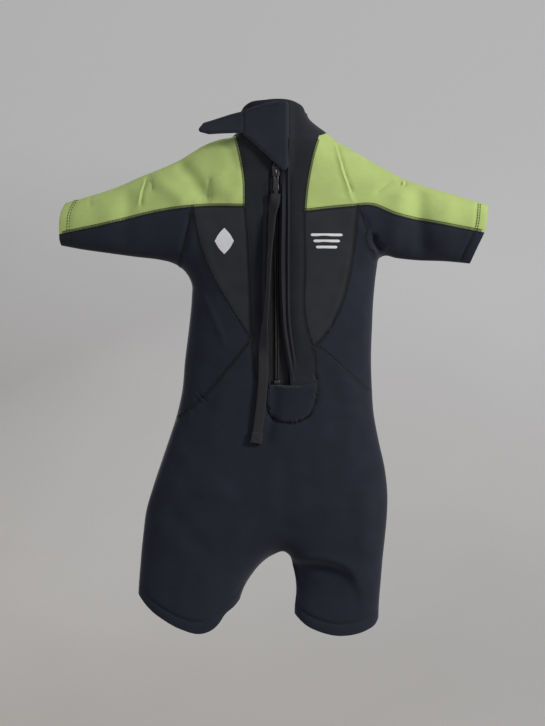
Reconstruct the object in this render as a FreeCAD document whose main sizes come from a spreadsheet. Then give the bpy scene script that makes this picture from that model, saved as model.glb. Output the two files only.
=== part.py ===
"""Child's shorty wetsuit with a back zip, hanging closed as it does from a coat hanger.

Frame: millimetres, +Z up, +X to the wearer's right as the suit is seen from behind,
the back of the suit faces -Y.  The origin is the centre of the neck opening at the
nape, level with the collar's top edge, midway between the front and the back.

The suit is a thin neoprene shell.  Lofts through ellipses give its outside, the same
lofts set in by the sheet's thickness give its inside, and upright cutters that follow
the seams divide the shell into the panels that are sewn together.  The zip, the neck
closure and the pull leash are built in the zip's own tilted plane.
"""
import FreeCAD, Part
import math
import os

V = FreeCAD.Vector

DRIVING_SIZES = [
    ("suit_length", 617.0, "nape to the lowest leg hem"),
    ("neoprene", 2.5, "thickness of the foam sheet with its two jersey faces"),
    ("back_depth", 34.0, "half of the suit's front to back depth while it hangs"),
    ("hem_width", 13.0, "turned and stitched band on sleeves and legs"),
    ("zip_length", 242.0, "slider at the top to the bottom stop"),
    ("zip_tilt", 0.3, "degrees that the zip leans from upright"),
    ("slot_half", 6.5, "half of the gap between the zip surrounds"),
    ("coil_width", 2.1, "one half of the coil, across the zip"),
    ("coil_depth", 2.0, "coil, front to back"),
    ("coil_gap", 0.5, "middle of the zip to either coil"),
    ("tape_width", 13.0, "woven tape on each side"),
    ("tape_depth", 0.8, "woven tape, front to back"),
    ("tape_inset", 1.2, "tapes behind the shell's innermost point, so that they clear its curve"),
    ("slider_length", 12.0, "slider body along the zip"),
    ("slider_width", 8.4, "slider body across the zip"),
    ("plate_depth", 1.4, "slider's top plate"),
    ("bail_stand", 3.4, "how far the bail stands off the slider's top plate"),
    ("running_gap", 0.4, "clearance around the slider"),
    ("tab_length", 16.4, "metal pull tab"),
    ("tab_width", 7.0, "metal pull tab"),
    ("tab_depth", 1.2, "metal pull tab"),
    ("leash_width", 11.0, "flat webbing of the pull leash"),
    ("leash_depth", 1.6, "flat webbing of the pull leash"),
    ("flap_depth", 2.4, "neck flap's sheet"),
    ("patch_depth", 0.8, "hook patch and loop patch"),
]

doc = FreeCAD.newDocument("shorty_wetsuit")
sheet = doc.addObject("Spreadsheet::Sheet", "sizes")
for row, (alias, value, note) in enumerate(DRIVING_SIZES, start=1):
    sheet.set(f"A{row}", note)
    sheet.set(f"B{row}", str(value))
    sheet.setAlias(f"B{row}", alias)
doc.recompute()
size = {alias: float(sheet.get(alias)) for alias, _, _ in DRIVING_SIZES}

# Every outline below is drawn for a suit of this length and scaled to suit_length.
DRAWN_LENGTH = 617.0
GRADE = size["suit_length"] / DRAWN_LENGTH
NEOPRENE = size["neoprene"]
DEPTH = size["back_depth"]
REACH = 120.0              # a cutter's length in front of and behind the middle plane
FAR = 400.0                # a cutter's overrun past the suit's outline
FLOOR = -700.0             # below every hem
nodes = []


# ---------------------------------------------------------------- the neoprene shell

# Trunk: height, left edge, right edge, half depth as a share of back_depth.
TRUNK = [
    (14, -48, 29, 1.0), (-9, -49, 29, 1.0), (-28, -50, 38, 1.0), (-41, -53, 57, 1.0),
    (-80, -84, 84, 1.0), (-125, -103, 103, 1.0), (-190, -109, 110, 1.0), (-253, -107, 105, 1.0),
    (-290, -111, 104, 1.0), (-330, -115, 105, 1.0), (-365, -122, 107, 1.0),
    (-400, -134, 114, 1.01), (-440, -147, 121, 1.02), (-480, -157, 121.5, 1.02),
    (-505, -138, 98, 0.8), (-523, -88, 58, 0.45),
]
# Sleeves: distance from the middle, top edge, bottom edge, half depth share.
LEFT_SLEEVE = [
    (-25, -60, -170, 0.7), (-60, -43, -185, 0.88), (-104, -60, -186, 0.88),
    (-140, -76, -181, 0.82), (-177, -93, -178, 0.74), (-214, -106, -172, 0.62),
    (-264, -117, -160, 0.5),
]
RIGHT_SLEEVE = [
    (25, -60, -170, 0.7), (60, -44, -185, 0.88), (105, -69, -188, 0.88),
    (139, -87, -181, 0.82), (163, -97, -183, 0.76), (194, -106, -185, 0.7),
    (222, -115, -187, 0.65), (247, -121, -191, 0.6),
]
# Legs: height, left edge, right edge, half depth share.  They start inside the trunk.
LEFT_LEG = [
    (-440, -136, -20, 0.7), (-475, -152, -5, 0.93), (-500, -159.5, 6, 1.02),
    (-524, -161.5, 4, 1.02), (-538, -162.5, -20, 1.01), (-552, -164, -35, 1.0),
    (-575, -167, -47, 0.97), (-600, -168, -68, 0.94), (-632, -168, -92, 0.9),
]
RIGHT_LEG = [
    (-440, 15, 110, 0.7), (-475, 11, 118, 0.93), (-500, 10, 120.5, 1.02),
    (-524, 10, 118, 1.02), (-545, 13, 117, 1.0), (-575, 15, 115, 0.97),
    (-600, 15, 112.5, 0.94), (-627, 14, 109, 0.92),
]


def flat_ellipse(height, left, right, share, inset):
    """The ellipse of a level section, set in by inset."""
    middle = V((left + right) / 2 * GRADE, 0, height * GRADE)
    half_width = (right - left) / 2 * GRADE - inset
    return Part.Ellipse(middle, half_width, DEPTH * share - inset)


def level_section(height, left, right, share, inset):
    return Part.Wire([flat_ellipse(height, left, right, share, inset).toShape()])


def sleeve_section(reach, top, bottom, share, inset):
    """An upright ellipse square to X."""
    middle = V(reach, 0, (top + bottom) / 2) * GRADE
    half_height = (top - bottom) / 2 * GRADE - inset
    half_depth = DEPTH * share - inset
    ellipse = Part.Ellipse(middle + V(0, 0, half_height), middle + V(0, half_depth, 0), middle)
    return Part.Wire([ellipse.toShape()])


def figure(inset):
    """The suit as one closed solid, set in by inset, with its ends left long."""
    floor = TRUNK[-1][0] + inset / GRADE
    trunk_rows = TRUNK[:-1] + [(floor,) + TRUNK[-1][1:]]
    lofts = []
    for section, rows in ((level_section, trunk_rows), (sleeve_section, LEFT_SLEEVE),
                          (sleeve_section, RIGHT_SLEEVE), (level_section, LEFT_LEG),
                          (level_section, RIGHT_LEG)):
        lofts.append(Part.makeLoft([section(*row, inset) for row in rows], True))
    return lofts[0].fuse(lofts[1:])


# ------------------------------------------------------------------- seam cutters

def outline_wire(stretches):
    """A closed wire in the middle plane.

    Each stretch is a list of (x, z) points: a smooth curve through three or more, a
    straight line through two.  Straight lines join one stretch to the next.
    """
    edges, ends = [], []
    for stretch in stretches:
        points = [V(x, 0, z) * GRADE for x, z in stretch]
        if len(points) > 2:
            curve = Part.BSplineCurve()
            curve.interpolate(points)
            edges.append(curve.toShape())
        elif len(points) == 2:
            edges.append(Part.makeLine(*points))
        if ends:
            edges.append(Part.makeLine(ends[-1], points[0]))
        ends += [points[0], points[-1]]
    edges.append(Part.makeLine(ends[-1], ends[0]))
    return Part.Wire(Part.__sortEdges__(edges))


def cutter(*stretches, sides="both"):
    """An outline drawn in the middle plane and carried to the back, the front or both."""
    face = Part.Face(outline_wire(stretches))
    start = {"both": -REACH, "back": -REACH, "front": 0}[sides]
    length = {"both": 2 * REACH, "back": REACH, "front": REACH}[sides]
    face.translate(V(0, start, 0))
    return face.extrude(V(0, length, 0))


def block(low, high):
    """An upright box between two corners."""
    size_of = [b - a for a, b in zip(low, high)]
    return Part.makeBox(*size_of, V(*low))


def largest_solid(shape):
    return max(shape.Solids, key=lambda solid: solid.Volume)


class Cloth:
    """The shell still to be divided: take() cuts one panel from it."""

    def __init__(self, shape):
        self.left_over = shape

    def take(self, tool):
        panel = largest_solid(self.left_over.common(tool))
        self.left_over = self.left_over.cut(tool)
        return panel


def keep(name, shape):
    """A sub-part whose shape is worked out here, as a document object."""
    feature = doc.addObject("Part::Feature", name)
    feature.Label = name
    feature.Shape = shape
    nodes.append(feature)
    return feature


# Seams, as (x, z) points from the middle of the back outwards.
GREEN_LEFT = [(-45, -123), (-94, -123), (-129, -126.5), (-209, -144), (-275, -156)]
GREEN_RIGHT = [(27, -129), (78, -123), (103, -121.5), (130, -132), (170, -140), (250, -155)]
ARMHOLE_LEFT = [(-102, -123), (-109, -155), (-119, -192)]
ARMHOLE_RIGHT = [(86, -122.5), (98, -155), (106, -192)]
DIAGONAL_LEFT = [(-37, -275), (-58, -304), (-84, -335), (-128, -372)]
DIAGONAL_RIGHT = [(40, -283), (52, -292), (77, -315), (112, -343)]
FRONT_SIDE_LEFT = [(-102, -123), (-84, -200), (-78, -270), (-92, -330), (-128, -372)]
FRONT_SIDE_RIGHT = [(103, -121.5), (84, -200), (78, -265), (90, -315), (112, -343)]
RAGLAN_LEFT = [(-50, -37), (-66, -80), (-102, -123)]
RAGLAN_RIGHT = [(52, -35), (68, -80), (103, -121.5)]
FRONT_WAIST = [(-84, -262), (0, -285), (84, -258)]


# Edges of the openings.  A cuff is a straight edge from its top to its foot, and a leg's
# edge is a row of stretches that runs past the leg on both sides.
LEFT_CUFF = [(-243, -110), (-258, -163)]
RIGHT_CUFF = [(238, -112), (223, -192)]
LEFT_LEG_EDGE = [[(-300, -504), (-172, -574)], [(-94, -612.5), (-60, -617)],
                 [(-30, -628.5), (0, -640)]]
RIGHT_LEG_EDGE = [[(0.1, -640), (8, -608)], [(26, -612), (70, -617), (112, -608)],
                  [(150, -600), (200, -590)]]


def beyond_cuff(cuff, inset=0.0):
    """All that lies past a sleeve's edge, when the edge is moved inwards by inset."""
    (top_x, top_z), (foot_x, foot_z) = cuff
    side = math.copysign(1, top_x)
    over_x, over_z = foot_x - top_x, foot_z - top_z
    high = (top_x - over_x - side * inset, top_z - over_z)
    low = (foot_x + over_x - side * inset, foot_z + over_z)
    return cutter([high, low], [(side * FAR, low[1]), (side * FAR, high[1])])


def below_leg(edge, raised=0.0):
    """All that hangs below a leg's edge, when the edge is raised."""
    stretches = [[(x, z + raised) for x, z in stretch] for stretch in edge]
    first, last = edge[0][0][0], edge[-1][-1][0]
    return cutter(*stretches, [(last, FLOOR), (first, FLOOR)])


def shell_of_suit():
    """The hollow shell, with the collar, sleeves and legs trimmed to their edges."""
    shell = figure(0).cut(figure(NEOPRENE))
    above_nape = cutter([(-80, FAR), (-80, -9)], [(-49, -9), (-39, -2.5), (3.5, 2.3)],
                        [(24, -4.6), (30, -14)], [(80, -14), (80, FAR)], sides="back")
    above_throat = cutter([(-80, FAR), (-80, -9)], [(-49, -9), (-9, -17), (30, -14)],
                          [(80, -14), (80, FAR)], sides="front")
    for cuff in (LEFT_CUFF, RIGHT_CUFF):
        shell = shell.cut(beyond_cuff(cuff))
    for edge in (LEFT_LEG_EDGE, RIGHT_LEG_EDGE):
        shell = shell.cut(below_leg(edge))
    shell = shell.cut(above_nape).cut(above_throat)
    return shell


def zip_frame(shape):
    """Places a shape drawn with the zip's middle on +Z from the zip's top end."""
    shape.rotate(V(0, 0, 0), V(0, 1, 0), -size["zip_tilt"])
    shape.translate(ZIP_TOP)
    return shape


ZIP_TOP = V(-7.0, 0, -80.0) * GRADE
ZIP_FOOT = -size["zip_length"]
SLIT = 1.2                 # the open slit above the zip, across the collar
ABOVE_ZIP = 8.0            # how far the slot between the surrounds runs above the zip
BELOW_STOP = 6.0           # and below it


def sew_panels():
    """Divides the shell into its panels, seam by seam."""
    body = cut_hems(shell_of_suit()).left_over
    back = Cloth(body.common(block((-FAR, -REACH, -2 * FAR), (FAR, 0, FAR))))
    front = Cloth(body.common(block((-FAR, 0, -2 * FAR), (FAR, REACH, FAR))))

    slot, slit = size["slot_half"], SLIT / 2
    zip_slot = zip_frame(block((-slot, -REACH, ZIP_FOOT - BELOW_STOP), (slot, 0, ABOVE_ZIP)))
    nape_slit = zip_frame(block((-slit, -REACH, 0), (slit, 0, FAR)))
    back.take(zip_slot)
    back.left_over = back.left_over.cut(nape_slit)

    collar_back = cutter([(-80, FAR), (-80, -30)], [(-60, -41), (27, -41), (40, -42.5)],
                         [(52, -35), (80, -20)], [(80, FAR), (79, FAR)], sides="back")
    collar_front = cutter([(-80, FAR), (-80, -30)], [(-60, -41), (-5, -58), (52, -35)],
                          [(80, -20), (80, FAR)], sides="front")
    nape_parts = back.left_over.common(collar_back)
    back.left_over = back.left_over.cut(collar_back)
    keep("collar", largest_solid(nape_parts.fuse(front.take(collar_front))))

    zip_x, zip_foot = ZIP_TOP.x / GRADE, (ZIP_TOP.z + ZIP_FOOT) / GRADE - BELOW_STOP
    surround_left = cutter([(zip_x, 0), (-60, 0)],
                           [(-54, -38), (-48, -63), (-41.5, -103), (-42.5, -124)],
                           [(-42.5, -125), (-38, -190), (-35, -273)],
                           [(-29, zip_foot + BELOW_STOP), (-17, zip_foot)],
                           [(zip_x, zip_foot), (zip_x, -80)],
                           sides="back")
    surround_right = cutter([(zip_x, 0), (60, 0)],
                            [(42, -41), (32, -82), (26, -127)], [(26.5, -128), (26.5, -250)],
                            [(28, -262), (37, -284), (39.5, -316)],
                            [(39.5, zip_foot), (zip_x, zip_foot)], sides="back")
    keep("zip_surround_left", back.take(surround_left))
    keep("zip_surround_right", back.take(surround_right))
    lumbar = cutter([(-17, -320), (-17, -340)], [(-17, -348), (-9, -365), (10, -368), (32, -362),
                    (39, -342)], [(39.5, -320), (39, -315)], sides="back")
    keep("lumbar_patch", back.take(lumbar))

    keep("back_panel_left", back.take(cutter(
        [(-35, -123), (-102, -123)], [(-102, -128), (-97, -157), (-83, -197), (-37, -275)],
        [(-20, -275), (-20, -123)], sides="back")))
    keep("back_panel_right", back.take(cutter(
        [(20, -122), (86, -122)], [(86, -127), (79, -192), (65, -243), (40, -283)],
        [(20, -283), (20, -200)], sides="back")))

    for name, side, green, raglan in (("left", -1, GREEN_LEFT, RAGLAN_LEFT),
                                      ("right", 1, GREEN_RIGHT, RAGLAN_RIGHT)):
        over_back = cutter(green, [(side * FAR, green[-1][1]), (side * FAR, FAR)],
                           [(green[0][0], FAR), (green[0][0], 0)], sides="back")
        beyond_armpit = green[1 if side < 0 else 2:]
        over_front = cutter(raglan, beyond_armpit[1:], [(side * FAR, green[-1][1]),
                            (side * FAR, FAR)], [(raglan[0][0], FAR), (raglan[0][0], 0)],
                            sides="front")
        shoulder = back.take(over_back).fuse(front.take(over_front))
        keep(f"shoulder_panel_{name}", largest_solid(shoulder))

    for name, side, armhole in (("left", -1, ARMHOLE_LEFT), ("right", 1, ARMHOLE_RIGHT)):
        outside = [armhole, [(armhole[-1][0], -240), (side * FAR, -240)],
                   [(side * FAR, -100), (armhole[0][0], -100)]]
        sleeve = back.take(cutter(*outside, sides="back"))
        sleeve = sleeve.fuse(front.take(cutter(*outside, sides="front")))
        keep(f"under_sleeve_{name}", largest_solid(sleeve))

    for name, side, diagonal, front_seam in (
            ("left", -1, DIAGONAL_LEFT, FRONT_SIDE_LEFT),
            ("right", 1, DIAGONAL_RIGHT, FRONT_SIDE_RIGHT)):
        above = [diagonal, [(side * FAR, diagonal[-1][1]), (side * FAR, -100)],
                 [(diagonal[0][0], -100), (diagonal[0][0], -101)]]
        beside = [front_seam, [(side * FAR, front_seam[-1][1]), (side * FAR, -100)]]
        flank = back.take(cutter(*above, sides="back"))
        flank = flank.fuse(front.take(cutter(*beside, sides="front")))
        keep(f"side_panel_{name}", largest_solid(flank))

    keep("seat_panel", largest_solid(back.left_over))
    keep("front_chest_panel", front.take(cutter(
        FRONT_WAIST, [(FAR, -258), (FAR, FAR)], [(-FAR, FAR), (-FAR, -262)], sides="front")))
    keep("front_lower_panel", largest_solid(front.left_over))


def cut_hems(shell):
    """Takes the stitched band off each sleeve and leg, and returns the rest of the shell."""
    cloth = Cloth(shell)
    band = size["hem_width"]
    keep("sleeve_hem_left", cloth.take(beyond_cuff(LEFT_CUFF, band)))
    keep("sleeve_hem_right", cloth.take(beyond_cuff(RIGHT_CUFF, band)))
    keep("leg_hem_left", cloth.take(below_leg(LEFT_LEG_EDGE, band)))
    keep("leg_hem_right", cloth.take(below_leg(RIGHT_LEG_EDGE, band)))
    return cloth


# ------------------------------------------------------------------------- the zip

TAPE_FRONT = -(DEPTH - NEOPRENE) + size["tape_inset"]      # outer face of the tapes
TAPE_BACK = TAPE_FRONT + size["tape_depth"]
COIL_FRONT = TAPE_FRONT - size["coil_depth"]
GAP = size["running_gap"]
PLATE_FRONT = COIL_FRONT - GAP - size["plate_depth"]       # outer face of the top plate
BAIL_FRONT = PLATE_FRONT - size["bail_stand"]
BAIL_FOOT = -9.0                            # below the zip's top end
BAIL_WIRE = 1.2                             # the bail's thickness along the zip
TAB_Y = BAIL_FRONT + 1.4                    # middle of the pull tab
TAB_TOP = BAIL_FOOT - 1.1
STOP_LENGTH = 4.0
TAPE_ENDS = 10.0                            # tape past the bottom stop, inside the seam


def box_object(name, low, high, bound=None):
    """A Part::Box in the zip's frame.  bound maps its properties to sheet expressions."""
    box = doc.addObject("Part::Box", name)
    box.Label = name
    box.Length, box.Width, box.Height = (b - a for a, b in zip(low, high))
    for prop, expression in (bound or {}).items():
        box.setExpression(prop, expression)
    turn = FreeCAD.Rotation(V(0, 1, 0), -size["zip_tilt"])
    box.Placement = FreeCAD.Placement(ZIP_TOP, turn).multiply(
        FreeCAD.Placement(V(*low), FreeCAD.Rotation()))
    return box


def zip_chain():
    """Two woven tapes, a coil on each, and the stops that end the slider's run."""
    inner, outer = size["coil_gap"], size["coil_gap"] + size["coil_width"]
    tape_low, tape_high = inner + 0.15, size["tape_width"]
    for name, side in (("left", -1), ("right", 1)):
        low, high = sorted((side * tape_low, side * tape_high))
        nodes.append(box_object(
            f"zip_tape_{name}", (low, TAPE_FRONT, ZIP_FOOT - TAPE_ENDS), (high, TAPE_BACK, TAPE_ENDS),
            {"Width": "sizes.tape_depth"}))
        low, high = sorted((side * inner, side * outer))
        nodes.append(box_object(
            f"zip_coil_{name}", (low, COIL_FRONT, ZIP_FOOT), (high, TAPE_FRONT, 3),
            {"Length": "sizes.coil_width", "Width": "sizes.coil_depth"}))
    stop_width = 2 * outer + 1.6
    nodes.append(box_object(
        "zip_bottom_stop", (-stop_width / 2, COIL_FRONT - 0.8, ZIP_FOOT - STOP_LENGTH),
        (stop_width / 2, TAPE_FRONT, ZIP_FOOT)))
    stops = [box_object(f"zip_top_stop_{name}", (side * 1.8 - 1.2, COIL_FRONT - 0.4, 3),
                        (side * 1.8 + 1.2, TAPE_FRONT, 5.5))
             for name, side in (("left", -1), ("right", 1))]
    pair = doc.addObject("Part::Compound", "zip_top_stops")
    pair.Label = "zip_top_stops"
    pair.Links = stops
    nodes.append(pair)


def zip_slider():
    """Top plate with side lips and a bail, a thin post between the coils, a back plate."""
    half, length = size["slider_width"] / 2, size["slider_length"]
    top, foot = 2.6, 2.6 - length
    bail_top = -0.4
    lip = half - (size["coil_gap"] + size["coil_width"] + GAP)
    plate_back = COIL_FRONT - GAP
    back_plate = TAPE_BACK + GAP
    parts = [
        box_object("slider_plate", (-half, PLATE_FRONT, foot), (half, plate_back, top),
                   {"Length": "sizes.slider_width", "Height": "sizes.slider_length"}),
        box_object("slider_lip_left", (-half, plate_back, foot),
                   (-half + lip, TAPE_FRONT - GAP, top)),
        box_object("slider_lip_right", (half - lip, plate_back, foot),
                   (half, TAPE_FRONT - GAP, top)),
        box_object("slider_post", (-0.15, plate_back, foot + 4), (0.15, back_plate, top - 2)),
        box_object("slider_back_plate", (-half, back_plate, foot), (half, back_plate + 1, top)),
        box_object("slider_bail_top", (-BAIL_WIRE, BAIL_FRONT, bail_top - BAIL_WIRE),
                   (BAIL_WIRE, PLATE_FRONT, bail_top)),
        box_object("slider_bail_foot", (-BAIL_WIRE, BAIL_FRONT, BAIL_FOOT),
                   (BAIL_WIRE, PLATE_FRONT, BAIL_FOOT + BAIL_WIRE)),
        box_object("slider_bail_bridge", (-BAIL_WIRE, BAIL_FRONT, BAIL_FOOT),
                   (BAIL_WIRE, BAIL_FRONT + 0.9, bail_top)),
    ]
    slider = doc.addObject("Part::MultiFuse", "zip_slider")
    slider.Label = "zip_slider"
    slider.Shapes = parts
    nodes.append(slider)


def pull_tab():
    """Flat metal tab that hangs from the bail, with a slot for the leash at its foot."""
    body = doc.addObject("PartDesign::Body", "pull_tab")
    body.Label = "pull_tab"
    plane = next(f for f in body.Origin.OriginFeatures if f.Role == "XZ_Plane")
    sketch = body.newObject("Sketcher::SketchObject", "tab_outline")
    sketch.AttachmentSupport = [(plane, "")]
    sketch.MapMode = "FlatFace"
    half, foot = size["tab_width"] / 2, -size["tab_length"]
    rim, slot = 1.3, 2.4
    rectangles = [((-half, foot), (half, 0)),
                  ((-half + rim, foot + rim), (half - rim, foot + rim + slot))]
    for (left, low), (right, high) in rectangles:
        corners = [V(left, low, 0), V(right, low, 0), V(right, high, 0), V(left, high, 0)]
        for start, end in zip(corners, corners[1:] + corners[:1]):
            sketch.addGeometry(Part.LineSegment(start, end))
    pad = body.newObject("PartDesign::Pad", "tab_sheet")
    pad.Profile = sketch
    pad.setExpression("Length", "sizes.tab_depth")
    pad.Midplane = True
    turn = FreeCAD.Rotation(V(0, 1, 0), -size["zip_tilt"])
    body.Placement = FreeCAD.Placement(ZIP_TOP, turn).multiply(
        FreeCAD.Placement(V(0, TAB_Y, TAB_TOP), FreeCAD.Rotation()))
    nodes.append(body)


def backing_flap(cavity):
    """Neoprene strip behind the zip, sewn to the left surround's inner face."""
    left, seam, right = -34, -27, 16
    front, back = TAPE_BACK + 3, TAPE_BACK + 5
    foot, top = ZIP_FOOT - 12, 10
    strip = block((left, front, foot), (right, back, top))
    sewn_edge = block((left, -DEPTH, foot), (seam, front, top))
    flap = zip_frame(strip.fuse(sewn_edge)).common(cavity)
    keep("zip_backing_flap", largest_solid(flap.removeSplitter()))


# ------------------------------------------------------------------- the pull leash

# The leash's middle line from the pull tab down, hand-set like the webbing hangs.
LEASH_ROUTE = [(-7.2, -109.5), (-9.5, -141), (-13.5, -177), (-16, -214), (-18.5, -250),
               (-21.5, -285), (-21, -318), (-23.5, -350), (-28, -382)]
ARC_SHARE = 0.45           # of the shorter run, taken by each arc


def leash_wire(route):
    """Straight runs joined by tangent arcs, each as large as its two runs allow."""
    edges, start = [], route[0]
    for before, corner, after in zip(route, route[1:], route[2:]):
        run_in, run_out = corner - before, after - corner
        trim = ARC_SHARE * min(run_in.Length, run_out.Length)
        into, out = V(run_in).normalize(), V(run_out).normalize()
        half_turn = into.getAngle(out) / 2
        radius = trim / math.tan(half_turn)
        print(f"leash arc radius {radius:.0f} mm, run {run_in.Length:.0f} mm")
        first, last = corner - into * trim, corner + out * trim
        bulge = (out - into).normalize()
        middle = corner + bulge * (radius / math.cos(half_turn) - radius)
        edges += [Part.LineSegment(start, first).toShape(),
                  Part.Arc(first, middle, last).toShape()]
        start = last
    edges.append(Part.LineSegment(start, route[-1]).toShape())
    return Part.Wire(edges)


def pull_leash():
    """Flat webbing with a folded, stitched end."""
    depth, half = size["leash_depth"], size["leash_width"] / 2
    route = [V(x * GRADE, TAB_Y - 1.6, z * GRADE) for x, z in LEASH_ROUTE]
    path = leash_wire(route)
    along = V(route[1] - route[0]).normalize()
    across = along.cross(V(0, 1, 0)).normalize()
    corners = [route[0] + across * u + V(0, v, 0)
               for u, v in ((-half, -depth / 2), (half, -depth / 2), (half, depth / 2),
                            (-half, depth / 2))]
    section = Part.makePolygon(corners + corners[:1])
    sweep = Part.BRepOffsetAPI.MakePipeShell(path)
    sweep.setBiNormalMode(V(0, 1, 0))
    sweep.add(section)
    sweep.build()
    sweep.makeSolid()
    webbing = sweep.shape()
    expected = depth * 2 * half * path.Length
    print(f"leash length {path.Length:.1f} mm")
    print(f"leash volume is {webbing.Volume / expected:.4f} of its section times its length")
    keep("pull_leash", webbing)

    end_run = V(route[-1] - route[-2]).normalize()
    lean = math.degrees(math.atan2(-end_run.x, -end_run.z))
    width, fold_depth, length = 2 * half + 2.4, 3.4, 16
    fold = Part.makeBox(width, fold_depth, length, V(-width / 2, -fold_depth / 2, -length))
    fold.rotate(V(0, 0, 0), V(0, 1, 0), lean)
    fold.translate(route[-1])
    keep("leash_end", fold)


# ----------------------------------------------------------------- the neck closure

FLAP_HINGE = V(4.6, -38.8, 0)     # the folded edge that the flap turns on
FLAP_LEAN = 7.0                   # degrees that the flap follows the collar round


def leaned(shape):
    """A shape drawn flat in front of the hinge, turned to follow the collar."""
    shape.rotate(V(FLAP_HINGE.x, 0, 0), V(0, 0, 1), -FLAP_LEAN)
    shape.translate(V(0, FLAP_HINGE.y, 0))
    return shape


def flat_sheet(wire, front, depth):
    face = Part.Face(wire)
    face.translate(V(0, front, 0))
    return face.extrude(V(0, depth, 0))


def neck_closure(outside):
    """Kite-shaped flap over the zip's top, its hook-and-loop tongue and their patches."""
    depth, patch = size["flap_depth"], size["patch_depth"]
    kite = outline_wire([[(4.6, -4.5), (-6, -3.5), (-43.6, -13)], [(-44.1, -15), (-44.1, -41.5)],
                         [(-42.5, -43), (-25, -58.5), (-14, -69), (-1.5, -77)],
                         [(0.5, -83), (4.6, -80)]])
    keep("neck_flap", leaned(flat_sheet(kite, -depth / 2, depth)))
    tongue = outline_wire([[(-45.9, -15), (-70, -22), (-89, -26)],
                           [(-92, -28), (-96, -36), (-93, -38)],
                           [(-85, -40), (-65, -41), (-45.9, -39.5)]])
    keep("collar_tab", leaned(flat_sheet(tongue, -depth / 2, depth)))
    hooks = outline_wire([[(-54, -20), (-72, -25), (-86, -28)], [(-89, -32), (-89, -35)],
                          [(-85, -37), (-54, -38)]])
    keep("tab_hook_patch", leaned(flat_sheet(hooks, depth / 2, patch)))
    skin = Part.makeLoft([level_section(*row, -patch) for row in TRUNK[:5]], True).cut(outside)
    loops = cutter([(-42, -17), (-42, -38)], [(-14, -38), (-14, -12)], sides="back")
    keep("collar_loop_patch", largest_solid(skin.common(loops)))


def write_parts():
    """Checks every object, then writes one file for each sub-part."""
    doc.recompute()
    for item in doc.Objects:
        faults = [flag for flag in item.State if flag in ("Invalid", "Error")]
        if faults:
            raise RuntimeError(f"{item.Label} is {faults}")
    os.makedirs("parts", exist_ok=True)
    for node in nodes:
        shape = node.Shape
        if shape.isNull() or not shape.isValid() or not shape.Solids:
            raise RuntimeError(f"{node.Label} has no valid solid")
        shape.exportStep(f"parts/{node.Label}.step")
        box = shape.BoundBox
        print(f"{node.Label:22s} {len(shape.Solids)} solid {shape.Volume / 1000:8.2f} cm3 "
              f"x {box.XMin:7.1f} {box.XMax:7.1f}  y {box.YMin:6.1f} {box.YMax:6.1f}  "
              f"z {box.ZMin:7.1f} {box.ZMax:7.1f}")


sew_panels()
zip_chain()
zip_slider()
pull_tab()
backing_flap(figure(NEOPRENE))
pull_leash()
neck_closure(figure(0))
write_parts()
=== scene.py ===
"""Looks of a child's shorty wetsuit with a back zip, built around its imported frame.

The suit hangs closed and is seen from behind.  Outlines are in millimetres, x to the right
and z up in the frame of the part, and become metres when a mesh is made.  Both faces of the
suit are height fields over one flat figure: the figure is triangulated once with every seam
in it, a screened Poisson solution gives it depth, folds are added to that, and each panel is
cut from it along its seams and given the thickness of neoprene.
"""
import math

import bmesh
import bpy
import numpy as np
from mathutils import Matrix, Vector, geometry, kdtree, noise
from mathutils.bvhtree import BVHTree


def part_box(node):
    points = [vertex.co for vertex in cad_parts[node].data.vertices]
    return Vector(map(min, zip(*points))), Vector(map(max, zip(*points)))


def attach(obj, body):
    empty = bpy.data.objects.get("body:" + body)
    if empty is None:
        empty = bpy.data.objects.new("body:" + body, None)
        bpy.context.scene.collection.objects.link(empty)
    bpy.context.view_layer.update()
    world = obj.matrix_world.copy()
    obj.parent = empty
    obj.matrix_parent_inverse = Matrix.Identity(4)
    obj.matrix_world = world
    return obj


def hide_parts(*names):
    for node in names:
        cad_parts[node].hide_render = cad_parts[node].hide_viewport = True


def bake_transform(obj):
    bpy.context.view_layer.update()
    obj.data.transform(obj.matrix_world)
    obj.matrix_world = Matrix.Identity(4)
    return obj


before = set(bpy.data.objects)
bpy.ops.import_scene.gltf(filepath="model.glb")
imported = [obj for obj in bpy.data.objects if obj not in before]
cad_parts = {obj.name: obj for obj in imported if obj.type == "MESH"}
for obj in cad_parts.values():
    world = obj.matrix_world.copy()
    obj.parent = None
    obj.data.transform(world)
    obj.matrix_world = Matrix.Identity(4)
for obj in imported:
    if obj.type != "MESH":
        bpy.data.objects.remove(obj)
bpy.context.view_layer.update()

MM = 0.001
PITCH = 3.0                # between the points of a panel's mesh
NEOPRENE = 2.5             # thickness of the foam sheet
SCENE = bpy.context.scene

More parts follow.
